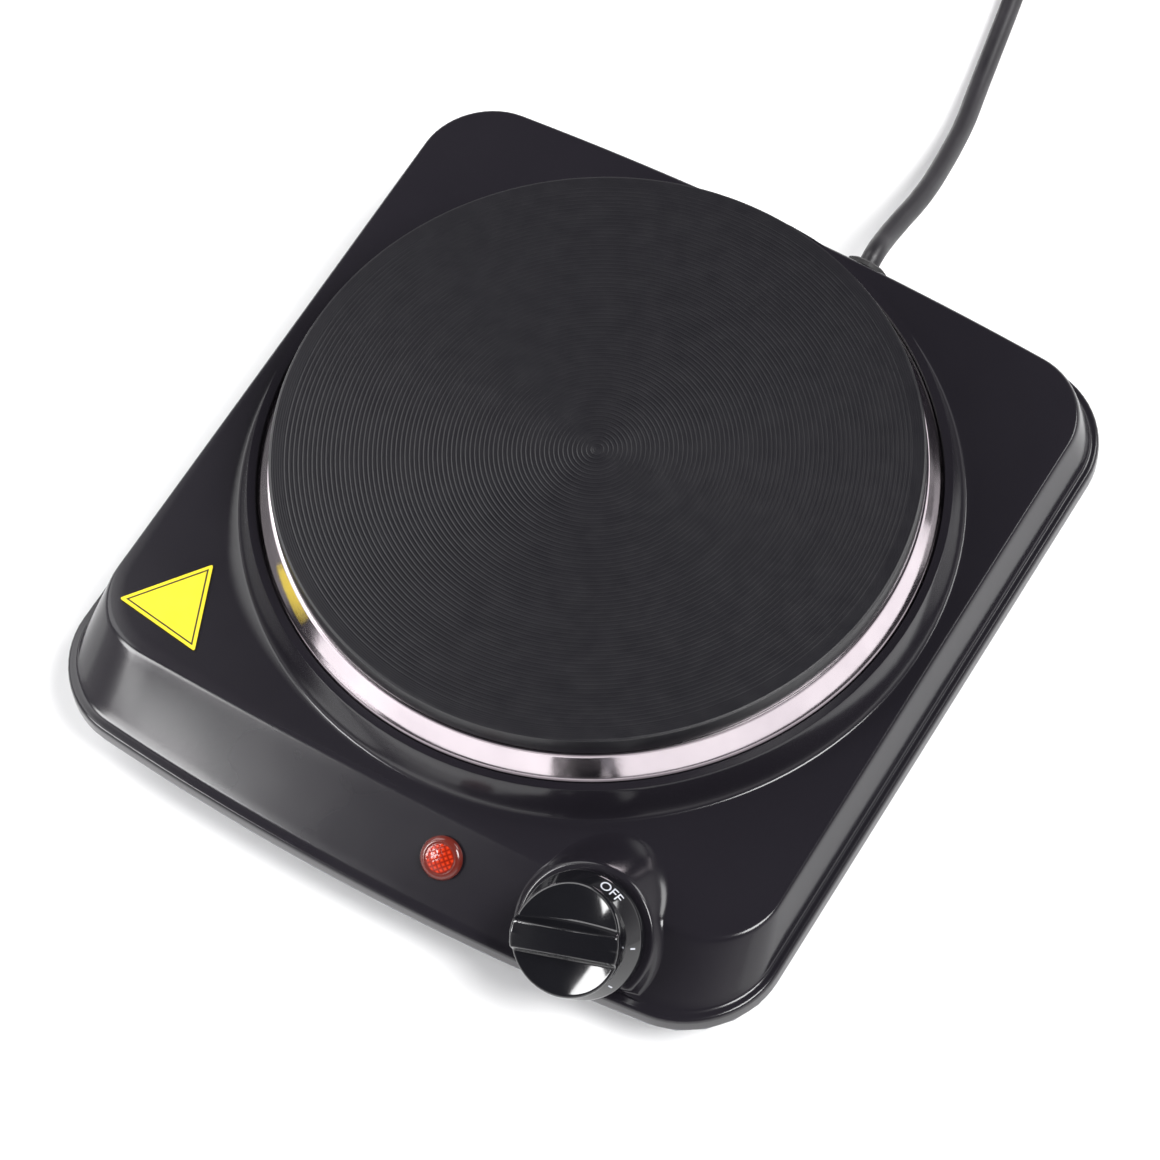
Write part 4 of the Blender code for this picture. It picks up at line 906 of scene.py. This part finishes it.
@dataclass
class Burner:
    """Cast-iron plate with turned grooves and the bright trim ring round it."""

    layout: Layout
    radius: float = 92.0 * MM
    edge: float = 7.0 * MM
    body: float = 15.0 * MM
    casting: float = 89.9 * MM
    bevel: float = 0.8 * MM
    groove_pitch: float = 1.3 * MM
    groove_depth: float = 0.075 * MM
    groove_width: float = 0.5 * MM
    groove_start: float = 1.6 * MM
    trim_radius: float = 96.8 * MM
    trim_foot: float = 48.8 * MM
    trim_sheet: float = 0.8 * MM
    stud_bore: float = 3.4 * MM
    stud_reach: tuple[float, float] = (42.0 * MM, 54.3 * MM)

    def plate_section(self) -> list[tuple[float, float]]:
        """Section of the plate.

        Returns:
            Points from its middle over the grooves, down its side and back underneath.
        """
        top = self.layout.plate_top
        section = [(0.0, top)]
        count = int((self.radius - 2.4 * MM - self.groove_start) / self.groove_pitch)
        for index in range(count):
            start = self.groove_start + index * self.groove_pitch
            section += [(start, top),
                        (start + 0.5 * self.groove_width, top - self.groove_depth),
                        (start + self.groove_width, top)]
        bevel = self.bevel
        side = top - self.edge + 0.3 * MM
        section += [(section[-1][0] + 0.15 * MM, top), (self.radius - bevel - 0.2 * MM, top),
                    (self.radius - bevel, top),
                    (self.radius - 0.3 * bevel, top - 0.3 * bevel), (self.radius, top - bevel),
                    (self.radius, side), (self.casting, side), (self.casting, top - self.body),
                    (self.casting - 6.0 * MM, top - self.body),
                    (self.casting - 6.0 * MM, top - 9.5 * MM), (11.0 * MM, top - 9.5 * MM),
                    (9.0 * MM, top - 19.5 * MM), (0.0, top - 19.5 * MM)]
        return section

    def trim_section(self) -> list[tuple[float, float]]:
        """Section of the trim ring: a rolled top, a steep cone and a small turned-out foot.

        Returns:
            The closed section's points.
        """
        top = self.layout.plate_top - self.edge
        foot = self.trim_foot
        sheet = self.trim_sheet
        return [(self.casting + 0.4 * MM, top), (self.radius + 0.1 * MM, top),
                (self.radius + 0.5 * MM, top - 0.08 * MM), (self.radius + 0.8 * MM, top - 0.4 * MM),
                (self.radius + 1.0 * MM, top - 0.9 * MM),
                (self.trim_radius - 0.75 * MM, foot + 1.1 * MM),
                (self.trim_radius - 0.45 * MM, foot + 0.5 * MM),
                (self.trim_radius - 0.1 * MM, foot + 0.3 * MM), (self.trim_radius, foot + 0.1 * MM),
                (self.trim_radius - 0.1 * MM, foot), (self.trim_radius - 1.2 * MM, foot),
                (self.radius + 0.2 * MM, top - 1.2 * MM),
                (self.radius - 0.2 * MM, top - sheet), (self.casting + 0.4 * MM, top - sheet)]

    def build(self, iron: bpy.types.Material, steel: bpy.types.Material) -> None:
        """Make the plate and the trim ring.

        Args:
            iron: The plate's finish.
            steel: The trim ring's finish.
        """
        shift = Matrix.Translation(self.layout.axis)
        plate = turn_section("grooved_plate", self.plate_section(), 192)
        plate.data.transform(shift)
        cut_away(plate, new_cylinder("bore", self.stud_bore, *self.stud_reach, shift, 32))
        smooth(plate, 35.0)
        dress(plate, iron, "iron", Body.BODY, "heating_plate")
        trim = turn_section("bright_trim", self.trim_section(), 256, closed=True)
        trim.data.transform(shift)
        smooth(trim, 35.0)
        dress(trim, steel, "stainless", Body.BODY, "trim_ring")


@dataclass
class Knob:
    """Control knob: skirt, cap with two scooped sides, grip bar and printing."""

    layout: Layout
    base: float = 3.5 * MM
    height: float = 16.2 * MM
    skirt: float = 17.8 * MM
    cap: float = 15.7 * MM
    flank_top: tuple[float, float] = (15.0 * MM, 6.9 * MM)
    flank_foot: tuple[float, float] = (17.5 * MM, 3.0 * MM)
    grip_width: float = 7.5 * MM
    grip_depth: float = 4.5 * MM
    grip_angle: float = 17.0
    dish: tuple[float, float] = (57.0 * MM, 90.0 * MM)
    crown: float = 200.0 * MM
    draft: float = 3.7
    falls: tuple[float, float] = (0.27, -0.08)
    fillet: float = 1.6 * MM
    rim: float = 0.9 * MM
    steps: int = 288
    bore: float = 3.9 * MM
    bore_depth: float = 11.5 * MM
    word_size: float = 4.2 * MM
    word_turn: float = 14.0
    mark: tuple[float, float, float] = (0.45 * MM, 1.6 * MM, 0.06 * MM)
    mark_turns: tuple[float, ...] = (75.0, 120.0, 165.0, 210.0, 255.0)

    def relief(self, x: float, y: float) -> float:
        """Height of the cap's top: the grip bar with a dished side on either hand.

        Args:
            x: Across the dial.
            y: Towards the top of the dial.

        Returns:
            The height above the knob's plane.
        """
        turn = math.radians(self.grip_angle)
        along = x * math.cos(turn) + y * math.sin(turn)
        across = y * math.cos(turn) - x * math.sin(turn)
        top = self.base + self.height
        out = abs(across) - self.grip_width / 2.0
        crown = top - along ** 2 / (2.0 * self.crown)
        grip = -soft_greater(-crown, out * self.draft - top, self.fillet)
        dish = (top - self.grip_depth + (out - 4.5 * MM) ** 2 / (2.0 * self.dish[1])
                + along ** 2 / (2.0 * self.dish[0]))
        dish -= out * self.falls[0 if across > 0.0 else 1]
        return soft_greater(grip, dish, self.fillet)

    def rings(self) -> list[Ring]:
        """The knob's skin.

        Returns:
            The rings from the floor inside its skirt to the middle of its top.
        """
        turns = [2.0 * math.pi * step / self.steps for step in range(self.steps)]

        def ring(radius: float, height: float = 0.0, over: float | None = None,
                 share: float = 1.0) -> Ring:
            """One ring of the skin.

            Args:
                radius: Its radius.
                height: Its height where it doesn't follow the cap's top.
                over: Its height over the cap's top, if it follows that.
                share: How far it follows the top.

            Returns:
                The ring's points.
            """
            points = []
            for turn in turns:
                x, y = radius * math.cos(turn), radius * math.sin(turn)
                level = height
                if over is not None:
                    level += (self.relief(x, y) + over - height) * share
                points.append(Vector((x, y, level)))
            return points

        base, edge = self.base, self.rim
        low = base + self.flank_top[1] + 0.9 * MM
        outside = [(self.skirt - 3.4 * MM, base + 3.4 * MM), (self.skirt - 2.0 * MM, base),
                   (self.skirt - 0.3 * MM, base), (self.skirt, base + 0.3 * MM),
                   (self.skirt, base + 2.0 * MM), (self.skirt - 0.1 * MM, base + 2.6 * MM),
                   (self.flank_foot[0], base + self.flank_foot[1]),
                   (self.flank_top[0], base + self.flank_top[1]),
                   (self.flank_top[0] + 0.1 * MM, low)]
        rings = [ring(radius, height) for radius, height in outside]
        for share in (0.3, 0.65, 1.0):
            radius = self.flank_top[0] + 0.1 * MM
            rings.append(ring(radius + (self.cap - radius) * share, low, -edge, share))
        for step in range(1, 7):
            turn = math.radians(15.0 * step)
            rings.append(ring(self.cap - edge + edge * math.cos(turn), 0.0,
                              edge * math.sin(turn) - edge))
        radius = self.cap - edge - 0.3 * MM
        while radius > 0.3 * MM:
            rings.append(ring(radius, 0.0, 0.0))
            radius -= 0.3 * MM
        return rings

    def word(self, text: str, size: float) -> bpy.types.Object:
        """Flat print of a word about the origin.

        Args:
            text: The word.
            size: Size of its letters.

        Returns:
            The print as a mesh.
        """
        start_clean()
        bpy.ops.object.text_add()
        piece = bpy.context.object
        piece.data.body = text
        piece.data.size = size
        piece.data.extrude = 0.03 * MM
        piece.data.align_x = "CENTER"
        piece.data.align_y = "CENTER"
        bpy.ops.object.convert(target="MESH")
        return bpy.context.object

    def wrap(self, piece: bpy.types.Object, degrees: float) -> bpy.types.Object:
        """Lay a flat print on the knob's conical flank.

        Args:
            piece: The print, its up direction along +Y.
            degrees: Its turn from the top of the dial, clockwise.

        Returns:
            The same piece.
        """
        (inner, high), (outer, low) = self.flank_top, self.flank_foot
        length = math.hypot(outer - inner, high - low)
        out, down = (outer - inner) / length, (high - low) / length
        radius, level = (inner + outer) / 2.0, self.base + (high + low) / 2.0
        for vert in piece.data.vertices:
            x, y, z = vert.co
            turn = math.radians(degrees) + x / radius
            reach = radius + y * out + z * down
            vert.co = self.layout.knob @ Vector((
                reach * math.sin(turn), reach * math.cos(turn), level - y * down + z * out))
        return piece

    def build(self, plastic: bpy.types.Material, ink: bpy.types.Material) -> None:
        """Make the knob and its printing.

        Args:
            plastic: The knob's finish.
            ink: The printing's finish.
        """
        knob = draw_up("phenolic_knob", self.rings(), capped=True)
        cut_away(knob, new_cylinder("bore", self.bore, self.base - MM,
                                    self.base + self.bore_depth, Matrix(), 32))
        knob.data.transform(self.layout.knob)
        smooth(knob, 32.0)
        dress(knob, plastic, "gloss_black", Body.KNOB, "control_knob")
        prints = [self.wrap(self.word("OFF", self.word_size), self.word_turn)]
        for degrees in self.mark_turns:
            prints.append(self.wrap(new_block("print", self.mark, Matrix()), degrees))
        dress(join_up(prints, "dial_print"), ink, "white_plastic", Body.KNOB)


@dataclass
class Lamp:
    """Indicator lens: a low dome in a plain rim."""

    layout: Layout
    radius: float = 6.2 * MM
    neck: float = 4.6 * MM

    def build(self, plastic: bpy.types.Material) -> None:
        """Make the lens with its own map.

        Args:
            plastic: The lens's finish.
        """
        section = [(0.0, 2.9 * MM), (2.0 * MM, 2.8 * MM), (3.4 * MM, 2.45 * MM),
                   (4.1 * MM, 2.1 * MM), (4.5 * MM, 2.25 * MM), (5.2 * MM, 2.1 * MM),
                   (5.8 * MM, 1.65 * MM), (self.radius, 1.0 * MM), (self.radius, 0.45 * MM),
                   (self.radius - 0.2 * MM, 0.3 * MM), (self.neck, 0.3 * MM),
                   (self.neck, -6.0 * MM), (0.0, -6.0 * MM)]
        lens = turn_section("lamp_lens", section, 72)
        plan = lens.data.uv_layers.new(name="plan")
        for loop in lens.data.loops:
            point = lens.data.vertices[loop.vertex_index].co
            plan.data[loop.index].uv = (point.x, point.y)
        lens.data.transform(self.layout.lamp)
        smooth(lens, 50.0)
        dress(lens, plastic, "red_lens", Body.BODY, "indicator_lens")


@dataclass
class Label:
    """Triangular label: a thin film with a printed border."""

    reach: float = 16.2 * MM
    film: float = 0.3 * MM
    corner: float = 0.8 * MM
    inset: float = 1.9 * MM
    band: float = 0.9 * MM
    turn: float = -8.0

    def triangle(self, name: str, reach: float, low: float, high: float,
                 band: float = 0.0) -> bpy.types.Object:
        """A triangular plate or frame, its point along +Y.

        Args:
            name: The new piece's name.
            reach: Distance of its corners from its middle.
            low: Height of its underside.
            high: Height of its top.
            band: Width of the frame, or nought for a full plate.

        Returns:
            The new piece about the origin.
        """
        start_clean()
        bpy.ops.mesh.primitive_circle_add(vertices=3, radius=reach, fill_type="NGON")
        piece = named(name)
        piece.data.transform(Matrix.Translation((0.0, 0.0, low)))
        bpy.ops.object.mode_set(mode="EDIT")
        bpy.ops.mesh.select_all(action="SELECT")
        if band:
            bpy.ops.mesh.inset(thickness=band)
            bpy.ops.mesh.delete(type="FACE")
            bpy.ops.mesh.select_all(action="SELECT")
        bpy.ops.mesh.extrude_region_move(
            TRANSFORM_OT_translate={"value": (0.0, 0.0, high - low)})
        bpy.ops.mesh.select_all(action="SELECT")
        bpy.ops.mesh.normals_make_consistent(inside=False)
        bpy.ops.object.mode_set(mode="OBJECT")
        return piece

    def build(self, paper: bpy.types.Material, ink: bpy.types.Material) -> None:
        """Make the film and its printed border.

        Args:
            paper: The film's finish.
            ink: The print's finish.
        """
        film = frame["nodes"]["hot_surface_label"]
        top = high_of("hot_surface_label")
        upper = [vert.co for vert in film.data.vertices if vert.co.z > top - 0.1 * MM]
        middle = sum((point.copy() for point in upper), Vector()) / len(upper)
        place = (Matrix.Translation((middle.x, middle.y, 0.0))
                 @ Matrix.Rotation(math.radians(self.turn), 4, "Z"))
        sheet = self.triangle("label_film", self.reach, top - self.film, top)
        apply_modifier(sheet, "BEVEL", width=self.corner, segments=4, limit_method="ANGLE",
                       angle_limit=math.radians(100.0))
        sheet.data.transform(place)
        smooth(sheet)
        dress(sheet, paper, "label", Body.BODY, "hot_surface_label")
        border = self.triangle("label_print", self.reach - self.inset, top + 0.01 * MM,
                               top + 0.05 * MM, self.band / 2.0)
        border.data.transform(place)
        dress(border, ink, "label", Body.BODY)


@dataclass
class MainsCord:
    """The cord from its gland to its plug, wound into a coil behind the body."""

    layout: Layout
    radius: float = 3.1 * MM
    wall: float = 107.188 * MM
    gland_height: float = 30.0 * MM
    gland_across: float = 25.8 * MM
    lean: float = 0.2914
    coil_centre: tuple[float, float] = (-44.0 * MM, 156.8 * MM)
    rows: tuple[float, float] = (4.5 * MM, 10.7 * MM)
    reaches: tuple[float, float] = (40.2 * MM, 33.8 * MM)
    coil_span: tuple[float, float] = (20.5, 1170.0)
    coil_points: int = 76
    inner_span: tuple[float, float] = (325.0, 1045.0)
    upper_start: float = 685.0
    crossing: float = 53.0

    def behind(self, x: float, y: float, z: float) -> Vector:
        """A point in millimetres, its second number counted from the rear wall."""
        return Vector((x * MM, self.wall + self.layout.axis.y + y * MM, z * MM))

    def gland(self) -> Matrix:
        """Place of the gland.

        Returns:
            Its place, with its Z out square to the leaning rear wall.
        """
        point = Vector((self.gland_across, self.wall + self.layout.axis.y, self.gland_height))
        return (Matrix.Translation(point)
                @ Matrix.Rotation(math.atan(self.lean) - math.pi / 2.0, 4, "X"))

    def along(self, distance: float) -> Vector:
        """Point on the gland's axis, outwards from the wall."""
        return self.gland() @ Vector((0.0, 0.0, distance))

    def coil(self) -> list[Vector]:
        """Three turns and a bit: outside low, inside low, inside high, outside high.

        Returns:
            The cord's points through the coil.
        """
        first, last = self.coil_span
        inner, outer = self.inner_span
        centre = self.behind(self.coil_centre[0] / MM, self.coil_centre[1] / MM, 0.0)
        points = []
        for step in range(self.coil_points + 1):
            angle = first + (last - first) * step / self.coil_points
            inward = (ease(angle, inner, inner + self.crossing)
                      - ease(angle, outer, outer + self.crossing))
            upward = ease(angle, self.upper_start, self.upper_start + self.crossing)
            reach = self.reaches[0] + (self.reaches[1] - self.reaches[0]) * inward
            height = self.rows[0] + (self.rows[1] - self.rows[0]) * upward
            turn = math.radians(angle)
            points.append(centre + Vector((reach * math.cos(turn), reach * math.sin(turn),
                                           height)))
        return points

    def route(self) -> list[Vector]:
        """The whole cord's course.

        Returns:
            Its points from inside the gland to the plug's tail.
        """
        run = ((25.0, 13.3, 28.6), (24.7, 23.4, 25.0), (24.6, 33.5, 21.3), (23.9, 43.6, 17.7),
               (22.6, 53.7, 14.3), (21.0, 64.0, 10.9), (19.1, 74.2, 8.0), (15.9, 87.8, 5.3),
               (12.2, 105.8, 4.1), (8.5, 124.8, 4.1), (5.1, 139.6, 4.4), (1.9, 148.8, 4.5),
               (-1.2, 157.6, 4.5))
        lead = ((-56.0, 197.0, 10.8), (-67.6, 197.0, 11.6), (-72.5, 197.0, 14.2),
                (-77.0, 197.0, 17.3), (-81.5, 197.0, 18.4), (-86.0, 197.0, 18.4))
        return ([self.along(1.3 * MM), self.along(2.5 * MM), self.along(5.5 * MM)]
                + [self.behind(*point) for point in run] + self.coil()
                + [self.behind(*point) for point in lead])

    def build(self, sheath: bpy.types.Material, pieces: Sequence[bpy.types.Object]) -> None:
        """Args:
            sheath: The cord's finish.
            pieces: The plug, its pins and the tie; not used.
        """
        points = self.route()
        curve = bpy.data.curves.new("mains_cord", "CURVE")
        curve.dimensions = "3D"
        curve.bevel_depth = self.radius
        curve.bevel_resolution = 5
        curve.resolution_u = 6
        curve.use_fill_caps = True
        spline = curve.splines.new("BEZIER")
        spline.bezier_points.add(len(points) - 1)
        for target, point in zip(spline.bezier_points, points):
            target.co = point
            target.handle_left_type = target.handle_right_type = "AUTO"
        cord = bpy.data.objects.new("mains_cord", curve)
        bpy.context.scene.collection.objects.link(cord)
        length = sum((b - a).length for a, b in zip(points, points[1:]))
        LOG.info("cord length %.3f m", length)
        dress(cord, sheath, "cord_sheath", Body.BODY, "power_cord", "cord_coil", "plug_lead")


def ease(value: float, start: float, end: float) -> float:
    """A smooth step from nought to one between two values."""
    share = min(1.0, max(0.0, (value - start) / (end - start)))
    return share * share * (3.0 - 2.0 * share)


@dataclass
class Plug:
    """Moulded two-pin plug with a ribbed tail, and the tie round the coil."""

    cord: MainsCord
    radius: float = 18.0 * MM
    length: float = 56.0 * MM
    ribs: int = 5
    tie_angle: float = 235.0
    tie_width: float = 5.0 * MM
    tail: tuple[float, float, float] = (-86.3, 197.0, 18.4)

    def place(self) -> Matrix:
        """Place of the plug, its Z away from the cord."""
        return (Matrix.Translation(self.cord.behind(*self.tail))
                @ Matrix.Rotation(math.radians(-90.0), 4, "Y"))

    def section(self) -> list[tuple[float, float]]:
        """Section of the moulding: ribbed tail, waist, shoulder and face.

        Returns:
            The section's points.
        """
        section = [(0.0, 0.0), (3.9 * MM, 0.0)]
        for rib in range(self.ribs):
            start = (1.0 + 3.0 * rib) * MM
            reach = (4.4 + 0.4 * rib) * MM
            section += [(reach, start), (reach, start + 1.6 * MM),
                        (reach - 0.8 * MM, start + 2.0 * MM),
                        (reach - 0.8 * MM, start + 2.7 * MM)]
        section += [(6.6 * MM, 17.0 * MM), (8.0 * MM, 24.0 * MM), (11.0 * MM, 28.6 * MM),
                    (14.6 * MM, 31.6 * MM), (self.radius - 1.0 * MM, 35.6 * MM),
                    (self.radius - 0.2 * MM, 39.0 * MM), (self.radius, 42.0 * MM),
                    (self.radius, self.length - 1.2 * MM),
                    (self.radius - 0.35 * MM, self.length - 0.35 * MM),
                    (self.radius - 1.2 * MM, self.length), (self.radius - 4.0 * MM, self.length),
                    (self.radius - 4.4 * MM, self.length - 1.0 * MM), (0.0, self.length - 1.0 * MM)]
        return section

    def outline(self, offset: float) -> list[tuple[float, float]]:
        """Outline round the coil's three strands: two side by side and one on the inner.

        Args:
            offset: Its distance from the strands' middles.

        Returns:
            Pairs of distance from the coil's axis and height.
        """
        outer, inner = self.cord.reaches
        low, high = self.cord.rows
        lean = math.degrees(math.atan2(outer - inner, high - low))
        points = []
        for (radius, height), start, end in (((outer, low), -90.0, lean),
                                             ((inner, high), lean, 180.0),
                                             ((inner, low), 180.0, 270.0)):
            for step in range(9):
                angle = math.radians(start + (end - start) * step / 8)
                points.append((radius + offset * math.cos(angle),
                               height + offset * math.sin(angle)))
        return points

    def band(self) -> bpy.types.Object:
        """Flat tie drawn tight round the coil.

        Returns:
            The tie.
        """
        centre = self.cord.behind(self.cord.coil_centre[0] / MM, self.cord.coil_centre[1] / MM,
                                  0.0)
        turn = math.radians(self.tie_angle)
        outwards = Vector((math.cos(turn), math.sin(turn), 0.0))
        sideways = Vector((-math.sin(turn), math.cos(turn), 0.0))
        snug, thick, half = self.cord.radius + 0.05 * MM, 0.9 * MM, self.tie_width / 2.0
        soft = 0.25 * MM
        section = ((snug, -half), (snug + thick - soft, -half), (snug + thick, soft - half),
                   (snug + thick, half - soft), (snug + thick - soft, half), (snug, half),
                   (snug, -half))
        rings = [[centre + outwards * radius + sideways * side + Vector((0.0, 0.0, height))
                  for radius, height in self.outline(offset)] for offset, side in section]
        piece = draw_up("coil_tie", rings)
        only(piece)
        bpy.ops.object.mode_set(mode="EDIT")
        close_seams()
        smooth(piece, 35.0)
        return piece

    def build(self, rubber: bpy.types.Material, metal: bpy.types.Material,
              tie: bpy.types.Material) -> list[bpy.types.Object]:
        """Make the plug's moulding, its earth strips and the tie.

        Args:
            rubber: The moulding's finish.
            metal: The contacts' finish.
            tie: The tie's finish.

        Returns:
            The pieces on the cord, the CAD pins among them.
        """
        moulding = turn_section("plug_moulding", self.section(), 72)
        for side in (-1, 1):
            flat = new_block("flat", (10.0 * MM, 8.0 * MM, 40.0 * MM), Matrix.Translation(
                (side * (self.radius + 3.4 * MM), 0.0, self.length)))
            cut_away(moulding, flat)
        moulding.data.transform(self.place())
        smooth(moulding, 35.0)
        dress(moulding, rubber, "rubber", Body.BODY, "plug_body")
        strips = []
        for side in (-1, 1):
            strips.append(new_block("strip", (0.8 * MM, 5.0 * MM, 17.0 * MM), Matrix.Translation(
                (side * (self.radius - 1.3 * MM), 0.0, self.length - 9.5 * MM))))
        earth = join_up(strips, "earth_strips")
        earth.data.transform(self.place())
        apply_modifier(earth, "BEVEL", width=0.25 * MM, segments=2)
        smooth(earth)
        dress(earth, metal, "brass", Body.BODY)
        band = self.band()
        dress(band, tie, "tie_wire", Body.BODY, "cord_tie")
        pins = [frame["nodes"][name] for name in ("plug_pin_left", "plug_pin_right")]
        return [moulding, earth, band, *pins]


# Studio --------------------------------------------------------------------------------------
def direction(azimuth: float, elevation: float) -> Vector:
    """Direction from the object towards a light.

    Args:
        azimuth: Its angle round the object, in degrees from +X.
        elevation: Its angle above the floor, in degrees.

    Returns:
        The direction, one metre long.
    """
    turn, rise = math.radians(azimuth), math.radians(elevation)
    return Vector((math.cos(turn) * math.cos(rise), math.sin(turn) * math.cos(rise),
                   math.sin(rise)))


@dataclass
class Studio:
    """Pale floor, soft lights and the camera."""

    target: tuple[float, float, float] = (0.01739, -0.02502, 0.0638)
    azimuth: float = 35.59
    elevation: float = 60.35
    roll: float = -5.49
    distance: float = 1.342
    lens: float = 151.65

    def camera(self) -> None:
        """Make the camera and set it as the scene's own."""
        turn, rise, roll = (math.radians(v) for v in (self.azimuth, self.elevation, self.roll))
        right = Vector((math.cos(turn), math.sin(turn), 0.0))
        back = Vector((math.sin(turn) * math.cos(rise), -math.cos(turn) * math.cos(rise),
                       math.sin(rise)))
        above = back.cross(right)
        side = math.cos(roll) * right + math.sin(roll) * above
        up = -math.sin(roll) * right + math.cos(roll) * above
        data = bpy.data.cameras.new("camera")
        data.lens = self.lens
        data.sensor_width = 36.0
        data.clip_start = 0.05
        data.clip_end = 20.0
        camera = bpy.data.objects.new("camera", data)
        camera.matrix_world = (Matrix.Translation(Vector(self.target) + back * self.distance)
                               @ Matrix((side, up, back)).transposed().to_4x4())
        bpy.context.scene.collection.objects.link(camera)
        bpy.context.scene.camera = camera

    def floor(self) -> None:
        """A plain pale floor with a barely mottled surface."""
        start_clean()
        bpy.ops.mesh.primitive_plane_add(size=8.0)
        floor = bpy.context.object
        floor.name = "floor"
        floor.data.materials.append(
            Finish("pale_floor", "#F6F6F6", "#F3F3F3", 400.0, (0.8, 0.9), 3.0, 0.002).build())

    def softbox(self, name: str, azimuth: float, elevation: float, reach: float,
                size: tuple[float, float], power: float) -> None:
        """A rectangular soft light.

        Args:
            name: Its name.
            azimuth: Its direction round the object, in degrees from +X.
            elevation: Its direction above the floor, in degrees.
            reach: Its distance.
            size: Its width and height.
            power: Its power in watts.
        """
        data = bpy.data.lights.new(name, "AREA")
        data.shape = "RECTANGLE"
        data.size, data.size_y = size
        data.energy = power
        light = bpy.data.objects.new(name, data)
        place = reach * direction(azimuth, elevation)
        light.location = place
        light.rotation_euler = place.to_track_quat("Z", "Y").to_euler()
        bpy.context.scene.collection.objects.link(light)

    def sun(self, azimuth: float, elevation: float, spread: float, strength: float) -> None:
        """An even light over the whole floor.

        Args:
            azimuth: Its direction, in degrees from +X.
            elevation: Its direction above the floor, in degrees.
            spread: Its angular size in degrees.
            strength: Its strength in watts per square metre.
        """
        data = bpy.data.lights.new("sun", "SUN")
        data.angle = math.radians(spread)
        data.energy = strength
        light = bpy.data.objects.new("sun", data)
        light.rotation_euler = direction(azimuth, elevation).to_track_quat("Z", "Y").to_euler()
        bpy.context.scene.collection.objects.link(light)

    def sky(self) -> None:
        """Surroundings that are white near the horizon and dark overhead."""
        world = bpy.data.worlds.new("studio")
        world.use_nodes = True
        bpy.context.scene.world = world
        tree = world.node_tree
        where = add_node(tree, "ShaderNodeTexCoord")
        split = add_node(tree, "ShaderNodeSeparateXYZ", {0: where.outputs["Generated"]})
        ramp = add_node(tree, "ShaderNodeValToRGB", {"Fac": split.outputs["Z"]})
        ramp.color_ramp.elements[0].position = 0.12
        ramp.color_ramp.elements[0].color = (0.95, 0.93, 0.95, 1.0)
        ramp.color_ramp.elements[1].position = 0.55
        ramp.color_ramp.elements[1].color = (0.06, 0.06, 0.068, 1.0)
        background = tree.nodes["Background"]
        tree.links.new(ramp.outputs["Color"], background.inputs["Color"])
        background.inputs["Strength"].default_value = 1.0

    def build(self) -> None:
        """Set up the floor and the lights."""
        self.floor()
        self.sky()
        self.softbox("key", 230.0, 34.0, 1.6, (0.5, 0.5), 15.0)
        self.sun(0.0, 57.0, 26.0, 3.3)
        self.softbox("left", 180.0, 45.0, 2.2, (1.5, 1.5), 24.0)
        self.softbox("rear", 55.0, 42.0, 2.2, (0.8, 0.8), 16.0)
        bpy.context.scene.view_settings.view_transform = "Standard"


@dataclass(frozen=True)
class Carried:
    """CAD nodes that keep their shape and get a finer finish."""

    finish: Finish
    nodes: tuple[str, ...]

    def dress(self) -> None:
        """Put the finish in the slots of every node."""
        material = self.finish.build()
        for name in self.nodes:
            node = frame["nodes"][name]
            node.data.materials.clear()
            node.data.materials.append(material)
        LOG.info("%s on %d nodes", self.finish.name, len(self.nodes))


def numbered(name: str, count: int) -> tuple[str, ...]:
    """Names of numbered nodes, from one up."""
    return tuple(f"{name}_{index}" for index in range(1, count + 1))


CARRIED = (
    Carried(GALVANISED, ("base_plate", "reflector_dish")),
    Carried(ZINC, ("clamp_bar", "clamp_washer", "clamp_nut", "centre_stud", "fuse_lead",
                   "thermostat_shaft", "knob_clip", "lamp_clip", "strap_screw_left",
                   "strap_screw_right", *numbered("terminal_pin", 3),
                   *numbered("foot_screw", 4), *numbered("housing_post", 4))),
    Carried(BRASS, ("thermostat_bush", "bush_nut", "adjusting_pin", "earth_screw",
                    "plug_pin_left", "plug_pin_right")),
    Carried(STEATITE, ("thermostat_body", "terminal_block", "thermal_fuse",
                       *numbered("terminal_bead", 3))),
    Carried(NYLON, ("lamp_body", "cord_saddle", "cord_strap")),
    Carried(RUBBER, ("cord_gland", *numbered("rubber_foot", 4))),
    Carried(SHEATH, ("cord_inside",)),
    Carried(BROWN_SLEEVE, ("wire_live", "wire_switched")),
    Carried(BLUE_SLEEVE, ("wire_neutral",)),
    Carried(EARTH_SLEEVE, ("wire_earth",)),
)


def main() -> None:
    """Build every sub-assembly in order."""
    logging.basicConfig(level=logging.INFO, format="%(name)s %(message)s")
    layout = Layout.from_frame()
    studio = Studio()
    studio.camera()
    cord = MainsCord(layout)
    # Cast iron under a baked black heat-proof coating, its top turned to fine rings.
    iron = TurnedFinish("black_coated_cast_iron", "#161519", "#141317", 9.0, (0.3, 0.36), 0.5,
                        0.018, pitch=0.65, centre=(layout.axis.x, layout.axis.y)).build()
    rubber = RUBBER.build()
    on_cord = Plug(cord).build(rubber, BRASS.build(), SHEATH.build())
    cord.build(SHEATH.build(), on_cord)
    Housing(layout).build(BLACK_COAT.build(), cord.gland())
    Burner(layout).build(iron, STAINLESS.build())
    Knob(layout).build(PHENOLIC.build(), PALE_INK.build())
    Lamp(layout).build(RED_LENS.build())
    Label().build(LABEL_FILM.build(), BLACK_INK.build())
    for carried in CARRIED:
        carried.dress()
    studio.build()


if __name__ == "__main__":
    main()
